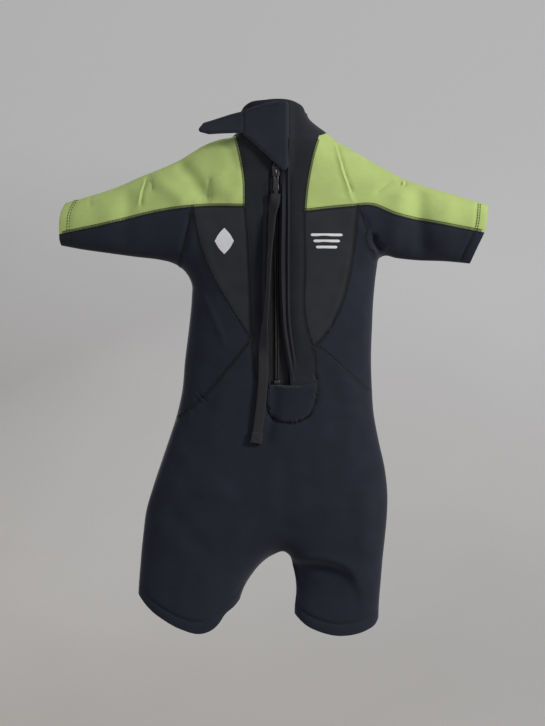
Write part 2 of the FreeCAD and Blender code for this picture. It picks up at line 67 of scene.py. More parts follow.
# ------------------------------------------------------------------------- outlines
# The figure goes on past the neck, cuffs and legs, so that its depth there is right.
FIGURE = [
    # left of the neck, along the left shoulder and past the cuff
    [(-49, 70), (-49, 0), (-50, -22), (-53, -35), (-59, -40.5), (-70, -42.5), (-92, -50.6),
     (-105, -58.5), (-119, -67), (-145, -78.5), (-166, -87), (-186, -96), (-218, -107),
     (-250, -116), (-320, -137)],
    # back along the under-sleeve to the armpit, down the flank and the left leg
    [(-320, -158), (-257, -166), (-233, -170.5), (-205, -174.5), (-168, -179.5), (-143, -182.5),
     (-128, -186), (-117, -192), (-109, -201), (-104.5, -212), (-104.7, -226), (-108, -262),
     (-112.5, -299), (-116, -336), (-122, -363), (-131, -391), (-140.5, -419), (-149.5, -446),
     (-157.5, -474), (-161, -501), (-163, -520), (-164.5, -538), (-166, -557), (-167, -576),
     (-167, -610), (-167, -690)],
    # up the inside of the left leg, round the crotch, down the inside of the right leg
    [(-52, -690), (-52, -610), (-50, -582), (-43.5, -562), (-34.5, -547.5), (-25, -536),
     (-11.5, -525.8), (3, -521.5), (9, -526), (12.7, -538), (16, -554), (16.6, -568),
     (15, -583), (14.5, -610), (14, -690)],
    # up the right leg and flank to the armpit
    [(111, -690), (112, -610), (112.7, -582), (115, -554), (117, -530), (119.7, -505),
     (122, -480), (122.6, -455), (119.5, -425), (112.7, -394), (106.5, -360), (104.5, -330),
     (103.6, -299), (104.7, -262), (106.5, -226), (108.5, -205), (110.5, -190)],
    # the right under-sleeve out past the cuff, and back along the shoulder
    [(110.5, -190), (112.5, -181.5), (119, -178), (132, -180.5), (154, -183), (191, -184.5),
     (218, -187), (300, -196)],
    [(300, -138), (239, -118.5), (222, -114), (194, -105.5), (163, -96.5), (139, -87.5),
     (123, -79), (104.7, -69), (88.6, -59.5), (72.5, -50), (60, -42.5), (51.6, -35.2),
     (40.8, -27.3), (31, -18), (28, -8), (28, 70)],
]

# Edges of the openings and of the turned hems inside them.
LEFT_CUFF = [(-240, -98), (-249, -113), (-255, -126), (-257.5, -150), (-257, -163), (-250, -178)]
RIGHT_CUFF = [(245, -103), (239.5, -118), (234, -150), (225, -170), (220, -182), (214, -200)]
LEFT_LEG_EDGE = [(-176, -556), (-164.5, -572.7), (-152, -586.5), (-136, -598), (-117, -608),
                 (-92, -613.6), (-80.5, -609.5), (-71.5, -601), (-65.5, -592), (-55, -583.5),
                 (-46, -573), (-34, -560)]
RIGHT_LEG_EDGE = [(5, -583), (13.8, -592), (19, -597.5), (28, -605), (44, -612), (62, -616),
                  (80.5, -615.3), (96.6, -611), (108, -604.5), (113, -596), (121, -582)]
HEM = 13.0


def moved(points, dx, dz):
    """The same line, shifted."""
    return [(x + dx, z + dz) for x, z in points]


LEFT_CUFF_HEM = moved(LEFT_CUFF, HEM, 0)
RIGHT_CUFF_HEM = moved(RIGHT_CUFF, -HEM, 0)
LEFT_LEG_HEM = [(-176, -543), (-164.5, -560), (-152, -573.5), (-136, -585), (-117, -595),
                (-94, -600), (-78, -594), (-66, -582), (-53, -572), (-44, -560), (-34, -548)]
RIGHT_LEG_HEM = [(5, -572), (16, -582), (29, -592), (45, -599), (62, -602.5), (80, -602),
                 (96, -598), (107, -591), (121, -578)]

COLLAR_TOP_BACK = [(-56, -14), (-47.5, -11.5), (-44, -7), (-38, -3), (-19.5, -0.3), (-5, 0.8),
                   (8, 0), (18, -3), (24, -6.5), (28, -14), (35, -18)]
COLLAR_TOP_FRONT = [(-60, -9), (-49, -12), (-25, -19), (-9, -21), (10, -19), (28, -13), (38, -9)]
COLLAR_BASE_BACK = [(-62, -40), (-30, -41.5), (27, -41.5), (42, -41), (57, -33)]
COLLAR_BASE_FRONT = [(-62, -40), (-30, -52), (-5, -58), (25, -52), (57, -33)]

ZIP_SLOT = [[(-13, -328), (-15.5, -300), (-15.5, -130), (-14, -78)], [(-14, -78), (-7, -66)],
            [(-7, -66), (-2.3, -78)],
            [(-2.3, -78), (-2.3, -235), (-0.5, -262), (4, -290), (8, -312), (10, -328)],
            [(10, -328), (-13, -328)]]
SURROUND_LEFT = [(-55.5, -34), (-48, -63), (-43, -95), (-42.5, -124), (-40.5, -150), (-38, -190),
                 (-36.5, -230), (-35, -273), (-33, -300), (-29, -322)]
SURROUND_LEFT_FOOT = [(-29, -322), (-17, -328), (-12.5, -328)]
SURROUND_RIGHT = [(44, -37), (36, -62), (31, -85), (27.5, -108), (26, -127), (26.5, -190),
                  (26.5, -250), (30, -268), (36, -285), (39.5, -316), (40, -324.5)]
SURROUND_RIGHT_FOOT = [(9.5, -328), (25, -327.5), (42, -324)]
LUMBAR = [(-17, -326), (-17.3, -352), (-14, -362), (-4.6, -368.5), (9, -371), (21, -368.5),
          (32, -361), (38, -347), (40.6, -329), (38, -318)]
GREEN_LEFT = [(-39.5, -123), (-94, -123), (-129, -126.5), (-209, -144), (-290, -160)]
GREEN_RIGHT = [(23, -129), (78, -123), (103, -121.5), (130, -132), (170, -140), (270, -159)]
RAGLAN_LEFT = [(-52, -34), (-56, -50), (-66, -80), (-102, -123), (-129, -128), (-209, -144),
               (-290, -160)]
RAGLAN_RIGHT = [(50, -31), (56, -48), (68, -80), (100, -119), (130, -132), (170, -140),
                (270, -159)]
CHARCOAL_LEFT = [(-103, -121), (-101, -135), (-96, -160), (-83, -197), (-62, -235),
                 (-32, -281)]
CHARCOAL_RIGHT = [(87, -121), (85, -145), (79, -192), (65, -243), (50, -270), (33, -288)]
ARMHOLE_LEFT = [(-102, -122), (-109, -155), (-116, -182), (-124, -204)]
ARMHOLE_RIGHT = [(87, -121), (98, -155), (105, -178), (116, -197)]
FRONT_ARMHOLE_RIGHT = [(101, -117), (107, -150), (109, -175), (116, -197)]
DIAGONAL_LEFT = [(-31, -270), (-58, -304), (-84, -335), (-130, -374)]
DIAGONAL_RIGHT = [(32, -278), (52, -292), (77, -315), (114, -346)]
FRONT_SIDE_LEFT = [(-102, -122), (-84, -200), (-78, -270), (-92, -330), (-130, -374)]
FRONT_SIDE_RIGHT = [(101, -117), (84, -200), (78, -265), (90, -315), (114, -346)]
FRONT_WAIST = [(-79, -262), (0, -285), (79, -258)]

NEITHER, BACK, FRONT, BOTH = 0, 1, 2, 3      # the faces that a line divides
EDGES = [
    (BOTH, LEFT_CUFF), (BOTH, RIGHT_CUFF), (BOTH, LEFT_LEG_EDGE), (BOTH, RIGHT_LEG_EDGE),
    (BACK, COLLAR_TOP_BACK), (FRONT, COLLAR_TOP_FRONT)] + [(BACK, part) for part in ZIP_SLOT]
SEAMS = [
    (BACK, [(-7, -66), (-7, 25)]),
    (BOTH, LEFT_CUFF_HEM), (BOTH, RIGHT_CUFF_HEM), (BOTH, LEFT_LEG_HEM), (BOTH, RIGHT_LEG_HEM),
    (BACK, COLLAR_BASE_BACK), (FRONT, COLLAR_BASE_FRONT), (BACK, SURROUND_LEFT),
    (BACK, SURROUND_LEFT_FOOT), (BACK, SURROUND_RIGHT), (BACK, SURROUND_RIGHT_FOOT),
    (BACK, LUMBAR), (BACK, GREEN_LEFT), (BACK, GREEN_RIGHT), (FRONT, RAGLAN_LEFT),
    (FRONT, RAGLAN_RIGHT), (BACK, CHARCOAL_LEFT), (BACK, CHARCOAL_RIGHT),
    (BOTH, ARMHOLE_LEFT), (BACK, ARMHOLE_RIGHT), (FRONT, FRONT_ARMHOLE_RIGHT),
    (BACK, DIAGONAL_LEFT), (BACK, DIAGONAL_RIGHT), (FRONT, FRONT_SIDE_LEFT),
    (FRONT, FRONT_SIDE_RIGHT), (FRONT, FRONT_WAIST)]

# Each panel: its CAD node, then for each region of it the side, a point in it, its cloth.
PANELS = {
    "collar": [(BACK, (-30, -25), "black"), (BACK, (15, -25), "black"),
               (FRONT, (-8, -40), "black")],
    "zip_surround_left": [(BACK, (-28, -200), "black")],
    "zip_surround_right": [(BACK, (15, -200), "black")],
    "lumbar_patch": [(BACK, (10, -350), "navy")],
    "back_panel_left": [(BACK, (-60, -170), "charcoal")],
    "back_panel_right": [(BACK, (50, -170), "charcoal")],
    "shoulder_panel_left": [(BACK, (-80, -100), "green"), (FRONT, (-80, -70), "green")],
    "shoulder_panel_right": [(BACK, (60, -100), "green"), (FRONT, (80, -75), "green")],
    "under_sleeve_left": [(BACK, (-150, -160), "navy"), (FRONT, (-150, -160), "navy")],
    "under_sleeve_right": [(BACK, (150, -160), "navy"), (FRONT, (150, -160), "navy")],
    "side_panel_left": [(BACK, (-95, -280), "navy"), (FRONT, (-100, -280), "navy")],
    "side_panel_right": [(BACK, (90, -280), "navy"), (FRONT, (95, -280), "navy")],
    "seat_panel": [(BACK, (0, -450), "navy")],
    "front_chest_panel": [(FRONT, (0, -150), "charcoal")],
    "front_lower_panel": [(FRONT, (0, -450), "navy")],
    "sleeve_hem_left": [(side, point, cloth) for side in (BACK, FRONT)
                        for point, cloth in (((-249, -130), "green"), ((-251, -161), "navy"))],
    "sleeve_hem_right": [(side, point, cloth) for side in (BACK, FRONT)
                         for point, cloth in (((229, -135), "green"), ((220, -170), "navy"))],
    "leg_hem_left": [(BACK, (-100, -606), "navy"), (FRONT, (-100, -606), "navy")],
    "leg_hem_right": [(BACK, (70, -609), "navy"), (FRONT, (70, -609), "navy")],
}


# ------------------------------------------------------------------------------ folds
# A fold: its line, height, half width.  A negative height is a valley.
FOLDS_BACK = [
    # left shoulder and sleeve
    ([(-152, -83), (-132, -100), (-108, -122)], 3.2, 10),
    ([(-122, -68), (-102, -92), (-83, -121)], -4.2, 9),
    ([(-76, -84), (-66, -104), (-50, -118)], 2.4, 11),
    ([(-62, -48), (-56, -66), (-52, -84)], -2.0, 8),
    ([(-83, -88), (-83.5, -104), (-85, -120)], -1.5, 1.8),
    ([(-154.5, -84), (-160, -105), (-162.5, -125)], -1.6, 1.4),
    ([(-153.4, -86), (-149.5, -97), (-149.7, -107)], -1.2, 1.2),
    ([(-157, -88), (-163, -106), (-166, -124)], 0.9, 2.0),
    ([(-221.6, -106), (-221, -114), (-222, -123)], -1.0, 1.3),
    ([(-205, -108), (-200, -128), (-202, -172)], 1.6, 13),
    ([(-178, -98), (-178, -130), (-182, -174)], -1.8, 9),
    # right shoulder and sleeve
    ([(59, -43), (65, -66), (70, -86), (75, -100), (80, -115)], 1.7, 1.5),
    ([(62, -45), (68.3, -68), (73.5, -87), (78.5, -101), (83, -113)], -1.6, 1.7),
    ([(71, -100), (78, -111), (82, -122)], 0.8, 1.3),
    ([(128, -92), (117, -100), (107, -108)], -1.5, 2.2),
    ([(62, -47), (95, -66), (127, -85)], -1.2, 1.5),
    ([(64, -50.5), (95, -70), (122, -87)], 0.7, 1.6),
    ([(141.5, -86), (140.5, -92), (138.5, -99)], 1.8, 1.2),
    ([(144, -87), (143.5, -93), (141.5, -100)], -1.5, 1.2),
    ([(137, -86), (137.5, -92), (136.5, -98)], -1.0, 1.2),
    ([(141, -100), (136, -118), (130, -150), (128, -176)], 4.0, 13),
    ([(160, -96), (158, -118), (160, -150), (164, -182)], -4.6, 10),
    ([(193, -106), (190, -130), (190, -155), (194, -184)], 2.0, 14),
    # right armpit: a hollow with a light rim
    ([(100, -150), (98.5, -160), (103, -170), (112, -177)], 2.2, 2.4),
    ([(106, -152), (104.5, -160), (108, -167), (115, -174)], -5.0, 4.2),
    ([(90, -132), (96, -142), (99, -152)], -1.6, 4.0),
    # left armpit and flank
    ([(-104, -130), (-109, -155), (-114, -178)], -2.2, 4.0),
    ([(-101, -207), (-88.5, -230), (-75, -258), (-63, -287)], 1.3, 3.4),
    ([(-98, -334), (-91, -341), (-85, -349)], -1.0, 1.4),
    ([(-101, -340), (-94, -347), (-89, -353)], -0.8, 1.3),
    ([(-106, -352), (-101, -358), (-98, -362)], -0.6, 1.4),
    # chest and waist
    ([(-90, -150), (-84, -185), (-66, -226)], 1.2, 6),
    ([(80, -170), (72, -210), (56, -255)], 1.2, 6),
    ([(98, -215), (95, -260), (97, -310)], 1.4, 8),
    ([(60, -300), (74, -330), (80, -372)], 1.6, 12),
    ([(-60, -310), (-74, -350), (-84, -400)], 1.4, 12),
    # seat
    ([(-120, -500), (-95, -470), (-60, -440)], 1.5, 16),
    ([(-128, -470), (-100, -505), (-80, -520)], -1.6, 10),
    ([(0, -400), (4, -450), (6, -505)], -1.6, 12),
    ([(-8, -318), (-9, -345), (-13, -375), (-20, -400)], -3.4, 8),
    ([(90, -440), (96, -480), (94, -530)], 2.2, 14),
]
FOLDS_FRONT = [
    ([(-140, -80), (-120, -110), (-104, -150)], 2.5, 9),
    ([(130, -85), (118, -112), (108, -150)], 2.5, 9),
    ([(-60, -90), (-20, -110), (40, -112)], -1.6, 12),
    ([(-70, -330), (-20, -345), (50, -335)], -1.8, 12),
    ([(-120, -500), (-60, -470), (0, -505)], -2.0, 12),
    ([(90, -450), (50, -470), (10, -510)], -1.8, 11),
    ([(-160, -90), (-158, -130), (-160, -178)], -2.0, 9),
    ([(165, -100), (163, -140), (166, -182)], -2.2, 9),
]
# The zip's surrounds: rolled lips beside the slot and the ridges beside them, and the
# fold of the collar beside the neck flap's hinge.
RIDGES = [
    ([(-16.8, -84), (-17.6, -130), (-17.6, -298), (-15.5, -326)], 1.5, 1.5),
    ([(-20.6, -90), (-21.4, -130), (-21.4, -298), (-19.8, -322)], -0.9, 1.3),
    ([(0.6, -84), (0.6, -235), (2.6, -264), (6.8, -290), (10.6, -312), (13.4, -327)], 2.4, 2.3),
    ([(4.6, -60), (4.8, -120), (4.4, -200), (6, -262), (10.4, -294), (14.4, -326)], -1.5, 1.1),
    ([(6.7, -58), (7.0, -120), (6.6, -200), (8.2, -262), (12.6, -294), (16.8, -326)], 1.0, 1.1),
    ([(9.0, -60), (9.2, -120), (8.8, -200), (10.6, -262), (15, -294), (19.2, -326)], -0.9, 1.1),
    ([(8.5, 2), (8.2, -20), (8, -45), (7, -70), (5, -92)], 4.2, 4.2),
    ([(-33, -140), (-31, -200), (-29.5, -280)], 0.9, 4.5),
    ([(18, -140), (18.5, -200), (19, -262), (27, -300)], 0.9, 4.5),
]


# The inner side of the right leg turns in below this arch.
LEG_HOLLOW = [(8, -528), (38, -526), (64, -530), (82, -541), (92, -558), (98, -580), (102, -612)]


# ---------------------------------------------------------------------- curves, distances

def smooth(points, step=2.5):
    """Points about step apart along a smooth curve through the given ones."""
    knots = np.array(points, float)
    runs = np.diff(knots, axis=0)
    gaps = np.linalg.norm(runs, axis=1)
    slopes = runs / gaps[:, None]
    inner = slopes[:-1] * gaps[1:, None] + slopes[1:] * gaps[:-1, None]
    inner = inner / (gaps[:-1] + gaps[1:])[:, None]
    ways = np.vstack([slopes[:1], inner, slopes[-1:]])
    rows = []
    for i, gap in enumerate(gaps):
        count = max(1, round(gap / step))
        t = (np.arange(count) / count)[:, None]
        rows.append((2 * t**3 - 3 * t**2 + 1) * knots[i] + (t**3 - 2 * t**2 + t) * gap * ways[i]
                    + (3 * t**2 - 2 * t**3) * knots[i + 1] + (t**3 - t**2) * gap * ways[i + 1])
    return np.vstack(rows + [knots[-1:]])


def smoothstep(value):
    """0 up to 0, 1 from 1 on, and an even S-shaped rise between."""
    t = np.clip(value, 0, 1)
    return t * t * (3 - 2 * t)


def measured(points, path):
    """For each point its distance from the path, its side of it (+1 left) and its share along."""
    runs = np.diff(path, axis=0)
    lengths = np.linalg.norm(runs, axis=1)
    starts = np.concatenate([[0], np.cumsum(lengths)])
    best = np.full(len(points), 1e9)
    side = np.ones(len(points))
    along = np.zeros(len(points))
    for i, run in enumerate(runs):
        away = points - path[i]
        t = np.clip(away @ run / lengths[i] ** 2, 0, 1)
        gap = np.linalg.norm(away - t[:, None] * run, axis=1)
        near = gap < best
        best[near] = gap[near]
        side[near] = np.sign(run[0] * away[:, 1] - run[1] * away[:, 0])[near]
        along[near] = ((starts[i] + t * lengths[i]) / starts[-1])[near]
    return best, side, along


def inside(points, ring):
    """Which points lie in a closed ring, by counting its crossings to their right."""
    found = np.zeros(len(points), bool)
    for (ax, az), (bx, bz) in zip(ring, np.roll(ring, -1, axis=0)):
        if az == bz:
            continue
        spans = (az > points[:, 1]) != (bz > points[:, 1])
        cross = ax + (points[:, 1] - az) * (bx - ax) / (bz - az)
        found ^= spans & (points[:, 0] < cross)
    return found


# ------------------------------------------------------------------ the flat figure's mesh

def hexagonal(low, high, pitch):
    """Points of a triangular lattice that fills a rectangle."""
    rows = []
    row_gap = pitch * math.sqrt(3) / 2
    for i in range(int((high[1] - low[1]) / row_gap) + 1):
        xs = np.arange(low[0] + (i % 2) * pitch / 2, high[0], pitch)
        rows.append(np.column_stack([xs, np.full(len(xs), low[1] + i * row_gap)]))
    return np.vstack(rows)


def clear_of(points, lines, gap):
    """The points that are at least gap from every line."""
    dense = np.vstack([smooth(line, 0.8) for line in lines])
    tree = kdtree.KDTree(len(dense))
    for i, (x, z) in enumerate(dense):
        tree.insert((x, z, 0), i)
    tree.balance()
    return np.array([p for p in points if tree.find((p[0], p[1], 0))[2] >= gap])


def triangulated(points, lines):
    """A constrained triangulation: its points, its triangles, and the lines on each edge."""
    coords = [Vector(p) for p in points]
    edges, owner = [], []
    for number, line in enumerate(lines):
        first = len(coords)
        coords += [Vector(p) for p in line]
        for i in range(first, len(coords) - 1):
            edges.append((i, i + 1))
            owner.append(number)
    result = geometry.delaunay_2d_cdt(coords, edges, [], 0, 1e-4, True)
    verts, out_edges, faces, _, edge_sources, _ = result
    on_edge = {}
    for (a, b), sources in zip(out_edges, edge_sources):
        if sources:
            on_edge[(min(a, b), max(a, b))] = {owner[s] for s in sources}
    return np.array([(v.x, v.y) for v in verts]), np.array(faces), on_edge


def regions(triangles, barrier):
    """A number for each triangle, the same for those that no barrier edge divides."""
    users = {}
    for t, (a, b, c) in enumerate(triangles.tolist()):
        for i, j in ((a, b), (b, c), (c, a)):
            users.setdefault((min(i, j), max(i, j)), []).append(t)
    neighbours = [[] for _ in triangles]
    for edge, pair in users.items():
        if len(pair) == 2 and edge not in barrier:
            neighbours[pair[0]].append(pair[1])
            neighbours[pair[1]].append(pair[0])
    label = np.full(len(triangles), -1)
    count = 0
    for seed in range(len(triangles)):
        if label[seed] >= 0:
            continue
        label[seed] = count
        queue = [seed]
        while queue:
            for other in neighbours[queue.pop()]:
                if label[other] < 0:
                    label[other] = count
                    queue.append(other)
        count += 1
    return label


def triangle_at(points, triangles, spot):
    """The triangle that a point lies in."""
    a, b, c = (points[triangles[:, k]] for k in range(3))
    spot = np.array(spot, float)

    def turn(p, q):
        return (q[:, 0] - p[:, 0]) * (spot[1] - p[:, 1]) - (q[:, 1] - p[:, 1]) * (spot[0] - p[:, 0])

    hit = (turn(a, b) >= 0) & (turn(b, c) >= 0) & (turn(c, a) >= 0)
    return int(np.argmax(hit))


figure_lines = [smooth(part) for part in FIGURE]
figure_ring = np.vstack(figure_lines)
figure_lines += [np.array([a[-1], b[0]]) for a, b in
                 zip(figure_lines, figure_lines[1:] + figure_lines[:1])
                 if np.linalg.norm(a[-1] - b[0]) > 0.01]
seam_lines = [(sides, smooth(line)) for sides, line in SEAMS]
edge_lines = [(sides, smooth(line)) for sides, line in EDGES]
guide_lines = [(NEITHER, smooth(line)) for line, _, width in FOLDS_BACK + RIDGES if width < 3]
guide_lines.append((NEITHER, smooth(LEG_HOLLOW[1:-1])))

INSETS = (0.15, 0.6, 1.4, 2.6, 4.2)


def inset_rows(ring):
    """Rows of points just inside the figure's outline, where its depth changes fast."""
    ways = np.roll(ring, -1, axis=0) - np.roll(ring, 1, axis=0)
    ways /= np.maximum(np.linalg.norm(ways, axis=1), 1e-6)[:, None]
    turned = np.column_stack([-ways[:, 1], ways[:, 0]])
    rows = []
    for gap in INSETS:
        row = ring + turned * gap
        row = row[inside(row, ring)]
        rows.append(clear_of(row, figure_lines[:6], gap * 0.85))
    return np.vstack(rows)


divisions = [line for _, line in seam_lines + edge_lines + guide_lines]
rim_points = clear_of(inset_rows(figure_ring), divisions, 1.0)
lattice = hexagonal(figure_ring.min(0), figure_ring.max(0), PITCH)
lattice = lattice[inside(lattice, figure_ring)]
lattice = clear_of(lattice, figure_lines[:6], INSETS[-1] + PITCH * 0.5)
lattice = clear_of(lattice, divisions, PITCH * 0.5)
# The triangulation fills a rectangle, and a spot near its corner lies outside the figure.
rectangle = np.array([(-400, -800), (400, -800), (400, 200), (-400, 200)], float)
OUTSIDE_SPOT = (-390, 190)
all_lines = figure_lines + divisions
flat, triangles, on_edge = triangulated(np.vstack([lattice, rim_points, rectangle]), all_lines)

outline_count = len(figure_lines)
line_sides = [BOTH] * outline_count + [sides for sides, _ in seam_lines + edge_lines
                                       + guide_lines]
outline_edges = {e for e, owners in on_edge.items() if min(owners) < outline_count}
whole = regions(triangles, outline_edges)
outside_label = whole[triangle_at(flat, triangles, OUTSIDE_SPOT)]
triangles = triangles[whole != outside_label]


def divided(side):
    """The regions that the seams and edges of one face make."""
    barrier = {e for e, owners in on_edge.items() if any(line_sides[o] & side for o in owners)}
    return regions(triangles, barrier)


labels = {BACK: divided(BACK), FRONT: divided(FRONT)}
rim_ids = np.unique(np.array(sorted(outline_edges)))


# -------------------------------------------------------------------------- its depth

SPREAD = 50.0              # how far from its edge the suit goes on getting deeper
DEPTH_SHARE = 0.552        # flattens the round sections to 34 mm at the chest
NECK_SHARE = 0.28          # the collar stands rounder than the rest
NECK_FOOT, NECK_RISE = -85, 45            # where that starts, and how far it grows up
NECK_X, NECK_HALF, NECK_FADE = -8, 75, 30          # its middle, half width and fading
ROUNDS, CLOSE_ENOUGH = 900, 1e-10         # of the conjugate gradients


def poisson_depth():
    """Half depth at each point: the root of a screened Poisson solution, zero at the edge."""
    p, q, r = (flat[triangles[:, k]] for k in range(3))
    area = np.abs(np.cross(q - p, r - p)) / 2

    def cotangent(corner, one, two):
        u, v = one - corner, two - corner
        return (u * v).sum(1) / np.maximum(np.abs(np.cross(u, v)), 1e-6)

    heads = np.concatenate([triangles[:, 1], triangles[:, 2], triangles[:, 0]])
    tails = np.concatenate([triangles[:, 2], triangles[:, 0], triangles[:, 1]])
    weights = np.concatenate([cotangent(p, q, r), cotangent(q, r, p), cotangent(r, p, q)]) / 2
    count = len(flat)
    mass = np.bincount(triangles.ravel(), np.repeat(area / 3, 3), count)
    degree = np.bincount(heads, weights, count) + np.bincount(tails, weights, count)
    diagonal = degree + mass / SPREAD**2
    free = mass > 0
    free[rim_ids] = False

    def applied(x):
        flow = np.bincount(heads, weights * x[tails], count)
        flow += np.bincount(tails, weights * x[heads], count)
        return (diagonal * x - flow) * free

    x = np.zeros(count)
    residual = mass * free
    scaled = residual / np.maximum(diagonal, 1e-9)
    way, fit = scaled.copy(), residual @ scaled
    for _ in range(ROUNDS):
        image = applied(way)
        step = fit / (way @ image)
        x += step * way
        residual = residual - step * image
        scaled = residual / np.maximum(diagonal, 1e-9)
        new_fit = residual @ scaled
        if new_fit < CLOSE_ENOUGH:
            break
        way = scaled + new_fit / fit * way
        fit = new_fit
    depth = DEPTH_SHARE * np.sqrt(2 * np.maximum(x, 0))
    near_neck = smoothstep((flat[:, 1] - NECK_FOOT) / NECK_RISE)
    near_neck *= smoothstep((NECK_HALF - np.abs(flat[:, 0] - NECK_X)) / NECK_FADE)
    return depth * (1 + NECK_SHARE * near_neck)


# ------------------------------------------------------------- the relief of the faces

LEG_HOLLOW_DEPTH = 9.5
WAVES = [(55, 1.6, 0), (19, 0.5, 9)]      # length and height of each wave, and its seed


def seam_grooves(points, side):
    """Neoprene is pressed in along its stitched seams, and more narrowly along its edges."""
    groove = np.zeros(len(points))
    for lines, depth, half_width in ((seam_lines, 0.75, 1.7), (edge_lines, 0.6, 0.9)):
        for sides, line in lines:
            if sides & side:
                gap, _, _ = measured(points, line)
                groove = np.minimum(groove, -depth * np.exp(-((gap / half_width) ** 2)))
    return groove


def folded(points, folds):
    """The sum of all folds, each fading out towards its ends."""
    height = np.zeros(len(points))
    for line, rise, width in folds:
        path = smooth(line, 4)
        low, high = path.min(0) - 3 * width, path.max(0) + 3 * width
        near = ((points > low) & (points < high)).all(1)
        gap, _, along = measured(points[near], path)
        fade = smoothstep(np.minimum(along, 1 - along) * 5 + 0.15)
        height[near] += rise * fade * np.exp(-((gap / width) ** 2))
    return height


def uneven(points, seed):
    """Slow waves that cloth always has."""
    return np.array([sum(noise.noise(Vector((x / length, z / length, seed + own))) * height
                         for length, height, own in WAVES) for x, z in points])


def lumbar_step(points):
    """The lumbar patch stands on the seat, with a deep edge at its foot."""
    ring = smooth(LUMBAR)
    gap, _, _ = measured(points, ring)
    within = inside(points, ring)
    return np.where(within, 1.5 * smoothstep(gap / 2.2), -1.2 * np.exp(-((gap / 3.0) ** 2)))


def leg_hollow(points):
    """The inner side of the right leg turns in under the seat's fold."""
    left, right, top, foot = 5, 100, -524, -606
    x, z = points[:, 0], points[:, 1]
    gap, side, _ = measured(points, smooth(LEG_HOLLOW))
    below = (side < 0) & (x > left) & (x < right) & (z < top)
    fade = smoothstep((z - foot) / 50)
    inward = smoothstep((108 - x) / 60)
    depth = LEG_HOLLOW_DEPTH * smoothstep(gap / 12) * fade * inward
    rim = 1.6 * np.exp(-((gap / 6) ** 2)) * smoothstep(x / 14) * fade * inward
    return rim - np.where(below, depth, 0)


half_depth = poisson_depth()
rounded = smoothstep(half_depth / 12)          # folds die out at the very edge
relief_back = folded(flat, FOLDS_BACK + RIDGES) + uneven(flat, 3) + lumbar_step(flat)
relief_back += leg_hollow(flat)
relief_front = folded(flat, FOLDS_FRONT) + uneven(flat, 31)
grooved = np.minimum(rounded * 3, 1)
back_height = half_depth + relief_back * rounded + seam_grooves(flat, BACK) * grooved
front_height = half_depth + relief_front * rounded + seam_grooves(flat, FRONT) * grooved

count = len(flat)
on_rim = np.zeros(count, bool)
on_rim[rim_ids] = True
front_id = np.where(on_rim, np.arange(count), np.arange(count) + count)
outer = np.zeros((2 * count, 3))
outer[:count] = np.column_stack([flat[:, 0], -back_height * ~on_rim, flat[:, 1]])
outer[count:] = np.column_stack([flat[:, 0], front_height, flat[:, 1]])


def vertex_normals(points, faces):
    """The mean direction of the triangles at each point, by their areas."""
    a, b, c = (points[faces[:, k]] for k in range(3))
    face_normals = np.cross(b - a, c - a)
    normals = np.zeros_like(points)
    for k in range(3):
        for axis in range(3):
            normals[:, axis] += np.bincount(faces[:, k], face_normals[:, axis], len(points))
    lengths = np.linalg.norm(normals, axis=1)
    return normals / np.maximum(lengths, 1e-9)[:, None]


back_faces = triangles
front_faces = front_id[triangles[:, ::-1]]
normals = vertex_normals(outer, np.vstack([back_faces, front_faces]))
inner = outer - normals * NEOPRENE
SKIN = {BACK: BVHTree.FromPolygons(outer.tolist(), back_faces.tolist()),
        FRONT: BVHTree.FromPolygons(outer.tolist(), front_faces.tolist())}
seam_gap = {}
for face_side in (BACK, FRONT):
    nearest = np.full(count, 99.0)
    for sides, line in seam_lines + edge_lines:
        if sides & face_side:
            nearest = np.minimum(nearest, measured(flat, line)[0])
    seam_gap[face_side] = nearest


def on_skin(x, z, side=BACK, lift=0.0):
    """A point on the suit's outer face, lifted off it, and the face's normal there."""
    far = -200 if side == BACK else 200
    way = Vector((0, -far, 0)).normalized()
    spot, normal, _, _ = SKIN[side].ray_cast(Vector((x, far, z)), way)
    if spot is None:
        return None, None
    if normal.y * far < 0:
        normal = -normal
    return spot + normal * lift, normal


# ------------------------------------------------------------------------- materials

def srgb(red, green, blue):
    """A display colour from 0 to 255 as the linear colour that shaders take."""
    return tuple((c / 255 / 12.92 if c / 255 <= 0.04045 else ((c / 255 + 0.055) / 1.055) ** 2.4)
                 for c in (red, green, blue)) + (1.0,)


